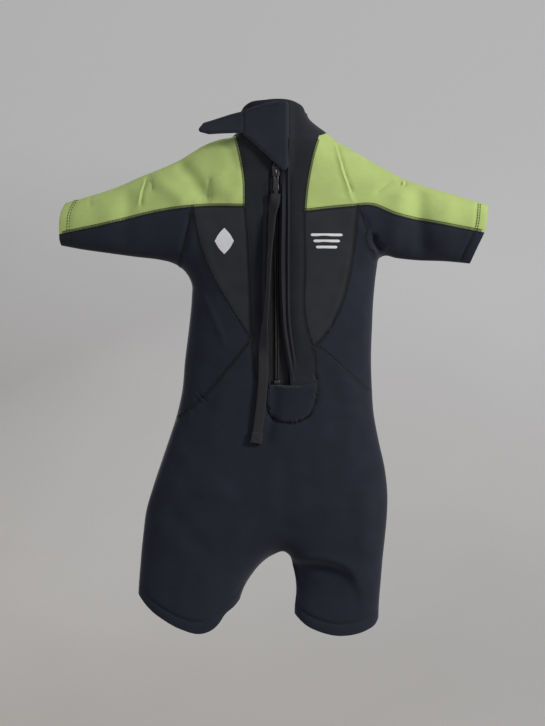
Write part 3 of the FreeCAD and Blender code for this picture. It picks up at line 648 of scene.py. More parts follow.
class Shader:
    """A material's node tree with short calls for the nodes that are used here."""

    def __init__(self, name, roughness, sheen=0.0, metallic=0.0, specular=0.3):
        self.material = bpy.data.materials.new(name)
        self.material.use_nodes = True
        self.tree = self.material.node_tree
        self.surface = self.tree.nodes["Principled BSDF"]
        self.surface.inputs["Roughness"].default_value = roughness
        self.surface.inputs["Metallic"].default_value = metallic
        self.surface.inputs["Specular IOR Level"].default_value = specular
        self.surface.inputs["Sheen Weight"].default_value = sheen
        self.surface.inputs["Sheen Roughness"].default_value = 0.45
        self.place = self.node("ShaderNodeTexCoord").outputs["Object"]

    def node(self, kind, **settings):
        made = self.tree.nodes.new(kind)
        for key, value in settings.items():
            setattr(made, key, value)
        return made

    def link(self, source, target):
        self.tree.links.new(source, target)

    def noise(self, scale, detail=4.0, rough=0.6, stretch=(1, 1, 1)):
        """Noise that repeats about scale times in a metre."""
        mapping = self.node("ShaderNodeMapping")
        mapping.inputs["Scale"].default_value = stretch
        self.link(self.place, mapping.inputs["Vector"])
        texture = self.node("ShaderNodeTexNoise")
        texture.inputs["Scale"].default_value = scale
        texture.inputs["Detail"].default_value = detail
        texture.inputs["Roughness"].default_value = rough
        self.link(mapping.outputs["Vector"], texture.inputs["Vector"])
        return texture.outputs["Fac"]

    def ribs(self, scale, axis, distortion=0.0):
        """Even ribs across one axis, scale to the metre."""
        texture = self.node("ShaderNodeTexWave", bands_direction=axis)
        texture.inputs["Scale"].default_value = scale * math.pi / 10
        texture.inputs["Distortion"].default_value = distortion
        self.link(self.place, texture.inputs["Vector"])
        return texture.outputs["Fac"]

    def maths(self, operation, one, two):
        made = self.node("ShaderNodeMath", operation=operation)
        for socket, value in zip(made.inputs, (one, two)):
            if isinstance(value, (int, float)):
                socket.default_value = value
            else:
                self.link(value, socket)
        return made.outputs[0]

    def ramp(self, source, stops):
        made = self.node("ShaderNodeValToRGB")
        elements = made.color_ramp.elements
        while len(elements) < len(stops):
            elements.new(0.5)
        for element, (at, colour) in zip(elements, stops):
            element.position = at
            element.color = colour
        self.link(source, made.inputs["Fac"])
        return made.outputs["Color"]

    def mixed(self, factor, one, two, blend="MIX"):
        made = self.node("ShaderNodeMix", data_type="RGBA", blend_type=blend)
        for socket, value in zip((made.inputs[0], made.inputs[6], made.inputs[7]),
                                 (factor, one, two)):
            if isinstance(value, (int, float, tuple)):
                socket.default_value = value
            else:
                self.link(value, socket)
        return made.outputs[2]

    def attribute(self, name):
        return self.node("ShaderNodeAttribute", attribute_name=name).outputs["Fac"]

    def finish(self, colour, height=None, distance=0.0002, roughness=None):
        self.link(colour, self.surface.inputs["Base Color"])
        if roughness is not None:
            self.link(roughness, self.surface.inputs["Roughness"])
        if height is not None:
            bump = self.node("ShaderNodeBump")
            bump.inputs["Strength"].default_value = 0.7
            bump.inputs["Distance"].default_value = distance
            self.link(height, bump.inputs["Height"])
            self.link(bump.outputs["Normal"], self.surface.inputs["Normal"])
        return self.material


def shade(colour, factor):
    """A colour made darker or lighter."""
    return tuple(min(1.0, c * factor) for c in colour[:3]) + (1.0,)


def jersey(name, colour, sheen, spread=0.22, worn=1.35):
    """Knitted jersey on foam: fine wales and courses, pilling, and wear beside the seams."""
    made = Shader(name, 0.85, sheen=sheen, specular=0.18)
    wales = made.ribs(900, "X", 0.6)
    courses = made.ribs(700, "Z", 0.6)
    knit = made.maths("MULTIPLY", wales, courses)
    mottle = made.noise(38, 6)
    fuzz = made.noise(900, 3, 0.7)
    tone = made.ramp(mottle, [(0.3, shade(colour, 1 - spread)), (0.7, shade(colour, 1 + spread))])
    tone = made.mixed(made.maths("MULTIPLY", knit, 0.35), tone, shade(colour, 0.55))
    tone = made.mixed(made.maths("MULTIPLY", fuzz, 0.25), tone, shade(colour, 1.5))
    wear = made.maths("MULTIPLY", made.attribute("wear"), made.noise(160, 5))
    tone = made.mixed(made.maths("MULTIPLY", wear, 0.6), tone, shade(colour, worn))
    height = made.maths("ADD", knit, made.maths("MULTIPLY", fuzz, 0.8))
    rough = made.maths("ADD", 0.78, made.maths("MULTIPLY", mottle, 0.2))
    return made.finish(tone, height, 0.00018, rough)


def webbing(name, colour):
    """Woven tape: warp cords along it and weft across it."""
    made = Shader(name, 0.7, sheen=0.1, specular=0.3)
    warp = made.ribs(1100, "X")
    weft = made.ribs(1500, "Z")
    weave = made.maths("MAXIMUM", warp, made.maths("MULTIPLY", weft, 0.8))
    fibre = made.noise(1500, 3, 0.7)
    tone = made.ramp(weave, [(0.2, shade(colour, 0.5)), (0.9, shade(colour, 1.25))])
    tone = made.mixed(made.maths("MULTIPLY", fibre, 0.3), tone, shade(colour, 1.7))
    return made.finish(tone, made.maths("ADD", weave, made.maths("MULTIPLY", fibre, 0.3)), 0.0003)


def thread(name, colour):
    """Twisted thread."""
    made = Shader(name, 0.6, sheen=0.1)
    twist = made.ribs(2600, "DIAGONAL")
    tone = made.ramp(twist, [(0.1, shade(colour, 0.6)), (0.9, shade(colour, 1.25))])
    return made.finish(tone, twist, 0.0001)


def plastic(name, colour):
    """Moulded nylon, lightly scuffed."""
    made = Shader(name, 0.42, specular=0.5)
    scuff = made.noise(700, 5)
    tone = made.ramp(scuff, [(0.3, shade(colour, 0.8)), (0.75, shade(colour, 1.3))])
    rough = made.maths("ADD", 0.32, made.maths("MULTIPLY", scuff, 0.3))
    return made.finish(tone, scuff, 0.00005, rough)


def metal(name, colour):
    """Plated metal, brushed along its length and dulled by salt."""
    made = Shader(name, 0.35, metallic=1.0)
    brushed = made.noise(2500, 3, 0.6, (1, 1, 0.08))
    salt = made.noise(420, 6)
    tone = made.ramp(salt, [(0.35, colour), (0.7, shade(colour, 0.6))])
    rough = made.maths("ADD", 0.22, made.maths("MULTIPLY", salt, 0.35))
    return made.finish(tone, brushed, 0.00004, rough)


def smooth_skin(name, colour):
    """Bare smooth-skin neoprene: closed cells, faint craze lines."""
    made = Shader(name, 0.5, specular=0.4)
    cells = made.noise(1300, 2)
    craze = made.noise(90, 8, 0.75)
    tone = made.ramp(craze, [(0.35, shade(colour, 0.75)), (0.7, shade(colour, 1.25))])
    rough = made.maths("ADD", 0.4, made.maths("MULTIPLY", craze, 0.25))
    return made.finish(tone, made.maths("ADD", cells, craze), 0.0001, rough)


def transfer_ink(name, colour):
    """A heat-pressed print, with the jersey showing through its fine cracks."""
    made = Shader(name, 0.55, specular=0.35)
    cracks = made.noise(520, 8, 0.8)
    tone = made.ramp(cracks, [(0.3, shade(colour, 0.6)), (0.42, colour),
                              (0.8, shade(colour, 1.05))])
    return made.finish(tone, made.maths("ADD", cracks, made.ribs(900, "X")), 0.00008)


CLOTHS = {
    "green": jersey("green_jersey", srgb(168, 185, 113), 0.10, 0.09, 1.1),
    "navy": jersey("navy_jersey", srgb(30, 33, 45), 0.20),
    "charcoal": jersey("charcoal_jersey", srgb(40, 41, 46), 0.22),
    "black": jersey("black_jersey", srgb(30, 31, 37), 0.20),
    "flap": jersey("flap_jersey", srgb(33, 37, 46), 0.24),
}
SKIN_BLACK = smooth_skin("black_smoothskin", srgb(22, 22, 24))
TAPE = webbing("zip_tape_weave", srgb(19, 20, 24))
LEASH = webbing("leash_weave", srgb(33, 33, 38))
COIL = plastic("zip_coil_nylon", srgb(20, 21, 25))
METAL = metal("slider_gunmetal", srgb(92, 92, 95))
HOOKS = plastic("hook_nylon", srgb(30, 31, 35))
LOOPS = jersey("loop_pile", srgb(30, 31, 36), 0.4)
THREAD_DARK = thread("dark_thread", srgb(24, 25, 29))
THREAD_GREY = thread("grey_thread", srgb(62, 63, 68))
INK = transfer_ink("white_transfer", srgb(214, 214, 216))


# ----------------------------------------------------------------------- mesh helpers

def make_object(name, verts, faces, materials, indices=None, crease=35):
    """A mesh object from points in millimetres."""
    mesh = bpy.data.meshes.new(name)
    mesh.from_pydata([tuple(c * MM for c in v) for v in verts], [], [tuple(f) for f in faces])
    for material in materials:
        mesh.materials.append(material)
    if indices is not None:
        mesh.polygons.foreach_set("material_index", indices)
    mesh.polygons.foreach_set("use_smooth", [True] * len(mesh.polygons))
    mesh.set_sharp_from_angle(angle=math.radians(crease))
    mesh.update()
    made = bpy.data.objects.new(name, mesh)
    SCENE.collection.objects.link(made)
    return made


def float_attribute(piece, name, values):
    """A number for each point, which a material can read."""
    attribute = piece.data.attributes.new(name, "FLOAT", "POINT")
    attribute.data.foreach_set("value", np.asarray(values, np.float32))


def closed_sheet(tris, top, under):
    """Faces of a closed sheet: its top, its underside and a rim around both."""
    ids, local = np.unique(tris, return_inverse=True)
    local = local.reshape(tris.shape)
    size = len(ids)
    verts = np.vstack([top[ids], under[ids]])
    faces = local.tolist() + (local[:, ::-1] + size).tolist()
    seen = set()
    for a, b, c in local.tolist():
        seen.update(((a, b), (b, c), (c, a)))
    for a, b in sorted(seen):
        if (b, a) not in seen:
            faces.append((b, a, a + size, b + size))
    return ids, verts, faces


WIDER = 1.25               # a panel that wraps round is wider flat than it hangs, by steps
LEAST_FILLED = 0.34        # the least share of its flat rectangle that a panel fills


def cloth_size(verts, tris):
    """The flat width, length and area of a panel, in metres."""
    points = np.array(verts) * MM
    a, b, c = (points[np.array(tris)[:, k]] for k in range(3))
    area = float(np.linalg.norm(np.cross(b - a, c - a), axis=1).sum() / 2)
    span = points.max(0) - points.min(0)
    width, length = float(span[0]), float(span[2])
    while width * length < area:
        width *= WIDER
    if area < LEAST_FILLED * width * length:
        width = area / (LEAST_FILLED * length)
    return (round(width, 3), round(length, 3)), area


class Tubes:
    """Many thin tubes in one mesh: threads, teeth and cords."""

    def __init__(self):
        self.verts, self.faces = [], []

    def add(self, points, radius, sides=5, flat_share=1.0, lean=None):
        points = [Vector(p) for p in points]
        first = len(self.verts)
        side = None
        for i, point in enumerate(points):
            before, after = points[max(i - 1, 0)], points[min(i + 1, len(points) - 1)]
            way = (after - before).normalized()
            guess = lean if lean is not None else (side or way.orthogonal())
            side = (guess - way * guess.dot(way)).normalized()
            other = way.cross(side)
            for k in range(sides):
                turn = 2 * math.pi * (k + 0.5) / sides
                self.verts.append(point + side * (radius * flat_share * math.cos(turn))
                                  + other * (radius * math.sin(turn)))
        rings = len(points)
        for i in range(rings - 1):
            for k in range(sides):
                a, b = first + i * sides + k, first + i * sides + (k + 1) % sides
                self.faces.append((a, b, b + sides, a + sides))
        self.faces.append(tuple(first + k for k in reversed(range(sides))))
        self.faces.append(tuple(first + (rings - 1) * sides + k for k in range(sides)))

    def made(self, name, material, crease=60):
        return make_object(name, self.verts, self.faces, [material], crease=crease)


# ----------------------------------------------------------------------------- panels

PANEL_WEAR = 4.0           # half width of the worn strips beside a panel's seams


def panel(node, parts):
    """One sewn panel, which stands for the CAD node of the same name."""
    chosen, indices, cloths = [], [], []
    wear = np.zeros(2 * count)
    for side, spot, cloth in parts:
        label = labels[side][triangle_at(flat, triangles, spot)]
        mask = labels[side] == label
        faces = (back_faces if side == BACK else front_faces)[mask]
        if cloth not in cloths:
            cloths.append(cloth)
        chosen.append(faces)
        indices += [cloths.index(cloth)] * len(faces)
        ids = np.unique(faces)
        worn = np.exp(-((seam_gap[side][ids % count] / PANEL_WEAR) ** 2))
        wear[ids] = np.maximum(wear[ids], worn)
    tris = np.vstack(chosen)
    ids, verts, faces = closed_sheet(tris, outer, inner)
    rim_count = len(faces) - 2 * len(tris)
    indices = indices + indices + [0] * rim_count
    made = make_object(f"{node}_cloth", verts, faces, [CLOTHS[c] for c in cloths], indices)
    float_attribute(made, "wear", np.concatenate([wear[ids], wear[ids] * 0]))
    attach(made, "suit")
    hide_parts(node)
    size, area = cloth_size(verts, faces[:len(tris)])


for node, parts in PANELS.items():
    panel(node, parts)


# --------------------------------------------------------------------------- stitching

def spaced(path, pitch):
    """Points and directions at even steps along a path in the plane."""
    runs = np.linalg.norm(np.diff(path, axis=0), axis=1)
    reach = np.concatenate([[0], np.cumsum(runs)])
    for at in np.arange(pitch / 2, reach[-1], pitch):
        i = min(int(np.searchsorted(reach, at)) - 1, len(runs) - 1)
        share = (at - reach[i]) / runs[i]
        point = path[i] * (1 - share) + path[i + 1] * share
        yield point, (path[i + 1] - path[i]) / runs[i]


def flatlock(name, lines, material, width=4.6, pitch=1.7, radius=0.28):
    """Flatlock stitching: slanted threads over the seam and a chain down each side."""
    tubes = Tubes()
    for side, line, start, end in lines:
        path = smooth(line, 2)
        path = path[int(len(path) * start):max(int(len(path) * end), 2)]
        rails = {-1: [], 1: []}
        for point, way in spaced(path, pitch):
            across = np.array([-way[1], way[0]])
            stitch = []
            for share in (-0.5, -0.17, 0.17, 0.5):
                spot = point + across * share * width + way * share * pitch * 0.9
                lifted, _ = on_skin(spot[0], spot[1], side, 0.12 + 0.25 * (abs(share) < 0.3))
                stitch.append(lifted)
            if any(s is None for s in stitch):
                continue
            if max((a - b).length for a, b in zip(stitch, stitch[1:])) > width:
                continue
            tubes.add(stitch, radius, 5)
            rails[-1].append(stitch[0])
            rails[1].append(stitch[-1])
        for rail in rails.values():
            run = []
            for spot in rail:
                if run and (spot - run[-1]).length > 3 * pitch:
                    if len(run) > 2:
                        tubes.add(run, radius * 0.9, 5)
                    run = []
                run.append(spot)
            if len(run) > 2:
                tubes.add(run, radius * 0.9, 5)
    made = tubes.made(name, material)
    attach(made, "suit")


def running_stitch(name, rows, material, pitch=3.2, dash=2.1, radius=0.3):
    """Straight stitches in rows, as along a hem."""
    tubes = Tubes()
    for side, line in rows:
        for point, way in spaced(smooth(line, 2), pitch):
            ends = [on_skin(*(point + way * share * dash), side, 0.1 + 0.16 * (share == 0))[0]
                    for share in (-0.5, 0, 0.5)]
            if all(e is not None for e in ends) and (ends[0] - ends[2]).length < 2 * dash:
                tubes.add(ends, radius, 5)
    made = tubes.made(name, material)
    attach(made, "suit")


flatlock("stitching_shoulder_left", [(BACK, GREEN_LEFT[:4] + [(-254, -153)], 0.0, 1.0),
                                     (FRONT, RAGLAN_LEFT[:6], 0.04, 1.0)], THREAD_DARK)
flatlock("stitching_shoulder_right", [(BACK, GREEN_RIGHT[:5] + [(230, -151)], 0.0, 1.0),
                                      (FRONT, RAGLAN_RIGHT[:6], 0.04, 1.0)], THREAD_DARK)
flatlock("stitching_back_panels", [(BACK, CHARCOAL_LEFT, 0.02, 0.99),
                                   (BACK, CHARCOAL_RIGHT, 0.02, 0.99)], THREAD_DARK)
flatlock("stitching_armholes", [(BACK, ARMHOLE_LEFT, 0.02, 0.93), (BACK, ARMHOLE_RIGHT, 0.02, 0.93),
                                (FRONT, ARMHOLE_LEFT, 0.02, 0.93),
                                (FRONT, FRONT_ARMHOLE_RIGHT, 0.02, 0.93)], THREAD_DARK)
flatlock("stitching_waist", [(BACK, DIAGONAL_LEFT, 0.05, 0.97), (BACK, DIAGONAL_RIGHT, 0.06, 0.95),
                             (FRONT, FRONT_SIDE_LEFT, 0.01, 0.97),
                             (FRONT, FRONT_SIDE_RIGHT, 0.01, 0.97),
                             (FRONT, FRONT_WAIST, 0, 1)], THREAD_DARK)
flatlock("stitching_surrounds", [(BACK, SURROUND_LEFT, 0.04, 1), (BACK, SURROUND_RIGHT, 0.03, 1),
                                 (BACK, LUMBAR, 0.03, 0.98)], THREAD_DARK, width=3.6)
flatlock("stitching_collar", [(FRONT, COLLAR_BASE_FRONT, 0.06, 0.94)], THREAD_DARK)
running_stitch("hem_stitches_sleeves",
               [(side, moved(line, way * gap, 0)[1:5]) for side in (BACK, FRONT)
                for gap in (1.0, 3.4) for line, way in ((LEFT_CUFF_HEM, -1), (RIGHT_CUFF_HEM, 1))],
               THREAD_DARK, radius=0.4)
running_stitch("hem_stitches_legs",
               [(s, moved(line, 0, gap)[1:-1]) for s in (BACK, FRONT) for gap in (0.9, 3.1)
                for line in (LEFT_LEG_HEM, RIGHT_LEG_HEM)], THREAD_DARK)


# -------------------------------------------------------------------------------- zip

def box_middle(node):
    """The middle, the low corner and the high corner of a CAD node's box, in millimetres."""
    low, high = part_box(node)
    return (low + high) / 2 / MM, low / MM, high / MM


def rounded_block(low, high, bevel, taper=1.0, segments=3):
    """A bevelled block between two corners; taper narrows its foot."""
    made = bmesh.new()
    bmesh.ops.create_cube(made, size=1.0)
    middle = [(a + b) / 2 for a, b in zip(low, high)]
    for vert in made.verts:
        share = taper if vert.co.z < 0 else 1.0
        vert.co = Vector((middle[0] + vert.co.x * (high[0] - low[0]) * share,
                          middle[1] + vert.co.y * (high[1] - low[1]),
                          middle[2] + vert.co.z * (high[2] - low[2])))
    bmesh.ops.bevel(made, geom=made.edges[:] + made.verts[:], offset=bevel, segments=segments,
                    profile=0.5, affect="EDGES")
    verts = [v.co.copy() for v in made.verts]
    faces = [[v.index for v in f.verts] for f in made.faces]
    made.free()
    return verts, faces


def joined(*shapes):
    """Several bodies as the points and faces of one mesh."""
    verts, faces = [], []
    for more_verts, more_faces in shapes:
        faces += [[i + len(verts) for i in f] for f in more_faces]
        verts += list(more_verts)
    return verts, faces


CHAIN_X, CHAIN_TOP = -7.0, -83.4
CHAIN_LEAN = math.radians(0.3)


def zip_axis(z):
    """The chain's middle, which leans a little on its way down."""
    return CHAIN_X - (z - CHAIN_TOP) * math.tan(CHAIN_LEAN)


def zip_tape(side_name, sign):
    """Woven tape, slightly rippled, which follows the chain's lean."""
    _, low, high = box_middle(f"zip_tape_{side_name}")
    near, width, foot, top = 0.68, 12.2, low.z + 0.5, high.z - 0.5
    rows, columns = 90, 9
    verts, faces = [], []
    for layer, y in enumerate((low.y, high.y)):
        for i in range(rows + 1):
            z = foot + (top - foot) * i / rows
            for j in range(columns + 1):
                share = j / columns if sign > 0 else 1 - j / columns
                x = zip_axis(z) + sign * (near + width * share)
                ripple = 0.10 * math.sin(z * 0.21 + sign) * math.sin(x * 0.5)
                verts.append((x, y + ripple, z))
    size = (rows + 1) * (columns + 1)
    for i in range(rows):
        for j in range(columns):
            a = i * (columns + 1) + j
            quad = (a, a + 1, a + columns + 2, a + columns + 1)
            faces.append(quad)
            faces.append(tuple(v + size for v in reversed(quad)))
    ring = (list(range(columns)) + [i * (columns + 1) + columns for i in range(rows)]
            + [rows * (columns + 1) + j for j in range(columns, 0, -1)]
            + [i * (columns + 1) for i in range(rows, 0, -1)])
    for a, b in zip(ring, ring[1:] + ring[:1]):
        faces.append((b, a, a + size, b + size))
    made = make_object(f"zip_tape_{side_name}_weave", verts, faces, [TAPE])
    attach(made, "suit")
    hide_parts(f"zip_tape_{side_name}")


def zip_coil(side_name, sign):
    """A nylon coil: each turn is a hooked tooth, and a cord runs through them."""
    middle, low, high = box_middle(f"zip_coil_{side_name}")
    tubes = Tubes()
    pitch = 1.5
    turns = int((high.z - low.z) / pitch)
    lean = Vector((0, 0, 1))
    for i in range(turns):
        z = low.z + (i + (0.5 if sign > 0 else 1.0)) * pitch
        if z > high.z - 0.4:
            continue
        inner_x, outer_x = zip_axis(z) + sign * 0.3, zip_axis(z) + sign * 2.6
        tubes.add([(outer_x, low.y + 1.7, z - 0.25), (outer_x - sign * 0.5, low.y + 0.5, z - 0.1),
                   (inner_x + sign * 0.6, low.y + 0.45, z), (inner_x + sign * 0.1, low.y + 0.9, z),
                   (inner_x + sign * 0.7, low.y + 1.45, z + 0.15)], 0.42, 6, 0.95, lean)
    tubes.add([(zip_axis(z) + sign * 1.5, middle.y + 0.25, z)
               for z in (low.z + 0.3, high.z - 0.3)], 0.5, 8)
    made = tubes.made(f"zip_coil_{side_name}_teeth", COIL)
    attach(made, "suit")
    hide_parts(f"zip_coil_{side_name}")


def zip_stops():
    """Crimped metal stops at the ends of the chain."""
    _, low, high = box_middle("zip_bottom_stop")
    verts, faces = joined(rounded_block(low, high, 0.5),
                          rounded_block((low.x - 0.5, low.y + 0.9, low.z + 1.2),
                                        (high.x + 0.5, high.y - 0.5, high.z - 1.2), 0.35))
    bottom = make_object("zip_bottom_stop_crimp", verts, faces, [METAL])
    _, low, high = box_middle("zip_top_stops")
    width = 2.4
    verts, faces = joined(
        rounded_block((low.x, low.y, low.z), (low.x + width, high.y, high.z), 0.45),
        rounded_block((high.x - width, low.y, low.z), (high.x, high.y, high.z), 0.45))
    top = make_object("zip_top_stops_crimp", verts, faces, [METAL])
    for made, node in ((bottom, "zip_bottom_stop"), (top, "zip_top_stops")):
        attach(made, "suit")
        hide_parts(node)


def zip_slider():
    """Cast slider: shouldered top plate, side lips, thin post, back plate and an arched bail."""
    middle, low, high = box_middle("zip_slider")
    cx = middle.x
    front, lips = low.y + 3.4, low.y + 6.8
    top, foot = high.z, low.z
    shapes = [
        # the top plate's shoulders and its narrower foot
        rounded_block((low.x, front, foot + 4.5), (high.x, front + 1.4, top), 0.55, 0.96),
        rounded_block((low.x + 0.5, front + 0.05, foot),
                      (high.x - 0.5, front + 1.35, foot + 6), 0.5, 0.8),
        # the side lips, the post between the plates, and the back plate
        rounded_block((low.x, front + 1.0, foot + 0.6), (low.x + 1.1, lips, top - 0.3), 0.35),
        rounded_block((high.x - 1.1, front + 1.0, foot + 0.6), (high.x, lips, top - 0.3), 0.35),
        rounded_block((cx - 0.15, front + 1.2, foot + 4.2),
                      (cx + 0.15, high.y - 0.9, top - 2.2), 0.06),
        rounded_block((low.x + 0.2, high.y - 1.0, foot), (high.x - 0.2, high.y, top), 0.4, 0.85),
    ]
    turns = [math.pi * k / 12 for k in range(13)]
    arch = [(cx, front + 0.4 - 3.1 * math.sin(turn) ** 0.7, foot + 4.9 + 4.0 * math.cos(turn))
            for turn in turns]
    bail = Tubes()
    bail.add(arch, 0.75, 10, 1.2, Vector((1, 0, 0)))
    verts, faces = joined(*shapes, (bail.verts, bail.faces))
    made = make_object("zip_slider_cast", verts, faces, [METAL])
    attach(made, "slider")
    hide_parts("zip_slider")


def pull_tab():
    """A stamped tab with an eye at the top, a waist, and a slot for the leash."""
    middle, low, high = box_middle("pull_tab")
    y, top, foot = middle.y, high.z, low.z
    cx = middle.x
    rim = [(-1.9, top + 1.6), (-2.9, top - 0.4), (-3.0, top - 3.0), (-2.6, top - 6.5),
           (-3.1, foot + 5.2), (-3.5, foot + 3.0), (-3.5, foot + 0.9), (-2.9, foot)]
    right = [(-x, z) for x, z in reversed(rim)]
    outline = [(cx + x, z) for x, z in rim + right]
    eye = [(cx + 1.25 * math.cos(a), top - 0.7 + 1.5 * math.sin(a))
           for a in np.linspace(0, 2 * math.pi, 16, endpoint=False)]
    slot_hole = [(cx - 2.2, foot + 3.6), (cx + 2.2, foot + 3.6), (cx + 2.2, foot + 1.4),
                 (cx - 2.2, foot + 1.4)]
    loops = [outline, eye, slot_hole]
    coords = [Vector(p) for loop in loops for p in loop]
    edges, start = [], 0
    for loop in loops:
        edges += [(start + i, start + (i + 1) % len(loop)) for i in range(len(loop))]
        start += len(loop)
    verts2, _, faces2, _, _, _ = geometry.delaunay_2d_cdt(coords, edges, [], 1, 1e-5, True)
    kept = []
    for face in faces2:
        mid = sum((verts2[i] for i in face), Vector((0, 0))) / len(face)
        spot = np.array([[mid.x, mid.y]])
        if inside(spot, np.array(outline))[0] and not inside(spot, np.array(eye))[0] \
                and not inside(spot, np.array(slot_hole))[0]:
            kept.append(face)
    top_face = np.array([(v.x, y - 0.55, v.y) for v in verts2])
    under = top_face + np.array([0, 1.1, 0])
    _, verts, faces = closed_sheet(np.array(kept), top_face, under)
    made = make_object("pull_tab_stamped", verts, faces, [METAL], crease=50)
    bevel = made.modifiers.new("rounding", "BEVEL")
    bevel.width = 0.25 * MM
    bevel.segments = 2
    bevel.limit_method = "ANGLE"
    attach(made, "pull_tab")
    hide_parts("pull_tab")


for side_name, sign in (("left", -1), ("right", 1)):
    zip_tape(side_name, sign)
    zip_coil(side_name, sign)
zip_stops()
zip_slider()
pull_tab()


# ---------------------------------------------------------------- free-standing sheets

SHEET_WEAR = 3.0           # half width of the worn border of a flap or patch
FLAP_THICK = 2.4


def shaped_sheet(name, stretches, place, thickness, materials, pitch=2.2):
    """A closed sheet over a flat outline; place puts a flat point in space."""
    lines = [smooth(part, pitch) for part in stretches]
    lines += [np.array([a[-1], b[0]]) for a, b in zip(lines, lines[1:] + lines[:1])
              if np.linalg.norm(a[-1] - b[0]) > 0.01]
    ring = np.vstack(lines[:len(stretches)])
    fill = hexagonal(ring.min(0), ring.max(0), pitch)
    fill = fill[inside(fill, ring)]
    fill = clear_of(fill, lines, pitch * 0.5)
    verts2, tris, _ = triangulated(fill, lines)
    middles = verts2[tris].mean(1)
    tris = tris[inside(middles, ring)]
    gap = np.full(len(verts2), 99.0)
    for line in lines:
        gap = np.minimum(gap, measured(verts2, line)[0])
    centre = np.array([place(x, z) for x, z in verts2])
    ways = vertex_normals(centre, tris)
    half = thickness / 2 * np.sqrt(np.clip(1 - (1 - np.clip(gap / (thickness * 0.5), 0, 1)) ** 2,
                                           0.12, 1))
    top, under = centre + ways * half[:, None], centre - ways * half[:, None]
    ids, verts, faces = closed_sheet(tris, top, under)
    made = make_object(name, verts, faces, materials, crease=60)
    worn = np.exp(-((gap[ids] / SHEET_WEAR) ** 2))
    float_attribute(made, "wear", np.concatenate([worn, worn]))
    size, area = cloth_size(verts, faces[:len(tris)])
    return made, size, area


HINGE_X, HINGE_Y = 4.6, -38.8
LEAN = math.radians(7)


def on_flap(x, z):
    """A point of the neck flap: it leans round the collar and rolls into it at the right."""
    if x > HINGE_X:
        y = HINGE_Y + 3.4 * float(smoothstep((x - HINGE_X) / 3.0))
    else:
        y = HINGE_Y + (HINGE_X - x) * math.tan(LEAN)
    wave = 0.5 * math.sin(z / 11 + 1) * smoothstep((HINGE_X - x) / 25)
    dip = 0.5 * smoothstep((x + 4) / 6) - 0.6 * smoothstep((-60 - z) / 20)
    return (x, y - wave + dip * 0.6, z)


def on_tongue(x, z):
    """A point of the tongue: it goes on from the flap and curls away from the suit."""
    _, y, _ = on_flap(x, z)
    reach = max(0.0, -44.5 - x)
    curl = 1.5 * math.sin(reach / 51 * math.pi) * (z + 30) / 12
    return (x, y + curl, z + 0.02 * reach * math.sin(reach / 9))


FLAP = [[(7.2, -7), (4.6, -4.5), (-6, -3.5), (-25, -7.5), (-43.4, -13.2)],
        [(-44.1, -15), (-44.1, -41)],
        [(-43, -42.6), (-34, -50.5), (-25, -58.5), (-14, -69), (-5.5, -77)],
        [(-2, -81), (2, -83), (5, -81.5)], [(7.2, -76), (7.2, -8)]]
TONGUE = [[(-44.4, -14.6), (-56, -17.4), (-70, -21.4), (-88, -25.7)],
          [(-90.5, -26.8), (-95.3, -35.6), (-94, -37)],
          [(-84, -39.8), (-64, -40.2), (-44.4, -39.2)]]


def stitched_edge(name, points, body, material, pitch=3.0, dash=2.0, radius=0.27, lift=1.35):
    """A row of stitches on a flap or tongue, given as points in space."""
    tubes = Tubes()
    path = np.array(points)
    runs = np.linalg.norm(np.diff(path, axis=0), axis=1)
    reach = np.concatenate([[0], np.cumsum(runs)])
    for at in np.arange(pitch, reach[-1] - pitch, pitch):
        spots = []
        for share in (-0.5, 0, 0.5):
            here = at + share * dash
            i = min(int(np.searchsorted(reach, here)) - 1, len(runs) - 1)
            mix = (here - reach[i]) / runs[i]
            spot = path[i] * (1 - mix) + path[i + 1] * mix
            spots.append((spot[0], spot[1] - lift - 0.1 * (share == 0), spot[2]))
        tubes.add(spots, radius, 5)
    made = tubes.made(name, material)
    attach(made, body)


def neck_flap():
    """The kite-shaped flap and its three rows of stitches."""
    flap, size, area = shaped_sheet("neck_flap_cloth", FLAP, on_flap, FLAP_THICK, [CLOTHS["flap"]])
    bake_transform(flap)
    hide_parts("neck_flap")
    rows = [smooth([(-2, -7.2), (-25, -11), (-40.5, -16)], 1.5),
            smooth([(-40.8, -17), (-40.8, -40)], 1.5),
            smooth([(-40.2, -41), (-23, -56), (-12, -66), (-2, -73)], 1.5)]
    for number, row in enumerate(rows):
        stitched_edge(f"flap_stitches_{number + 1}", [on_flap(x, z) for x, z in row], "neck_flap",
                      THREAD_DARK)


def collar_tongue():
    """The hook-and-loop tongue and its two rows of stitches."""
    tongue, size, area = shaped_sheet("collar_tab_cloth", TONGUE, on_tongue, FLAP_THICK,
                                      [CLOTHS["flap"]])
    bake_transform(tongue)
    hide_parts("collar_tab")
    rows = [smooth([(-50, -18.2), (-70, -24), (-87, -28)], 1.5),
            smooth([(-50, -36.8), (-66, -37.6), (-84, -36.6), (-91, -34.4)], 1.5)]
    for number, row in enumerate(rows):
        stitched_edge(f"tab_stitches_{number + 1}", [on_tongue(x, z) for x, z in row],
                      "collar_tab", THREAD_DARK)


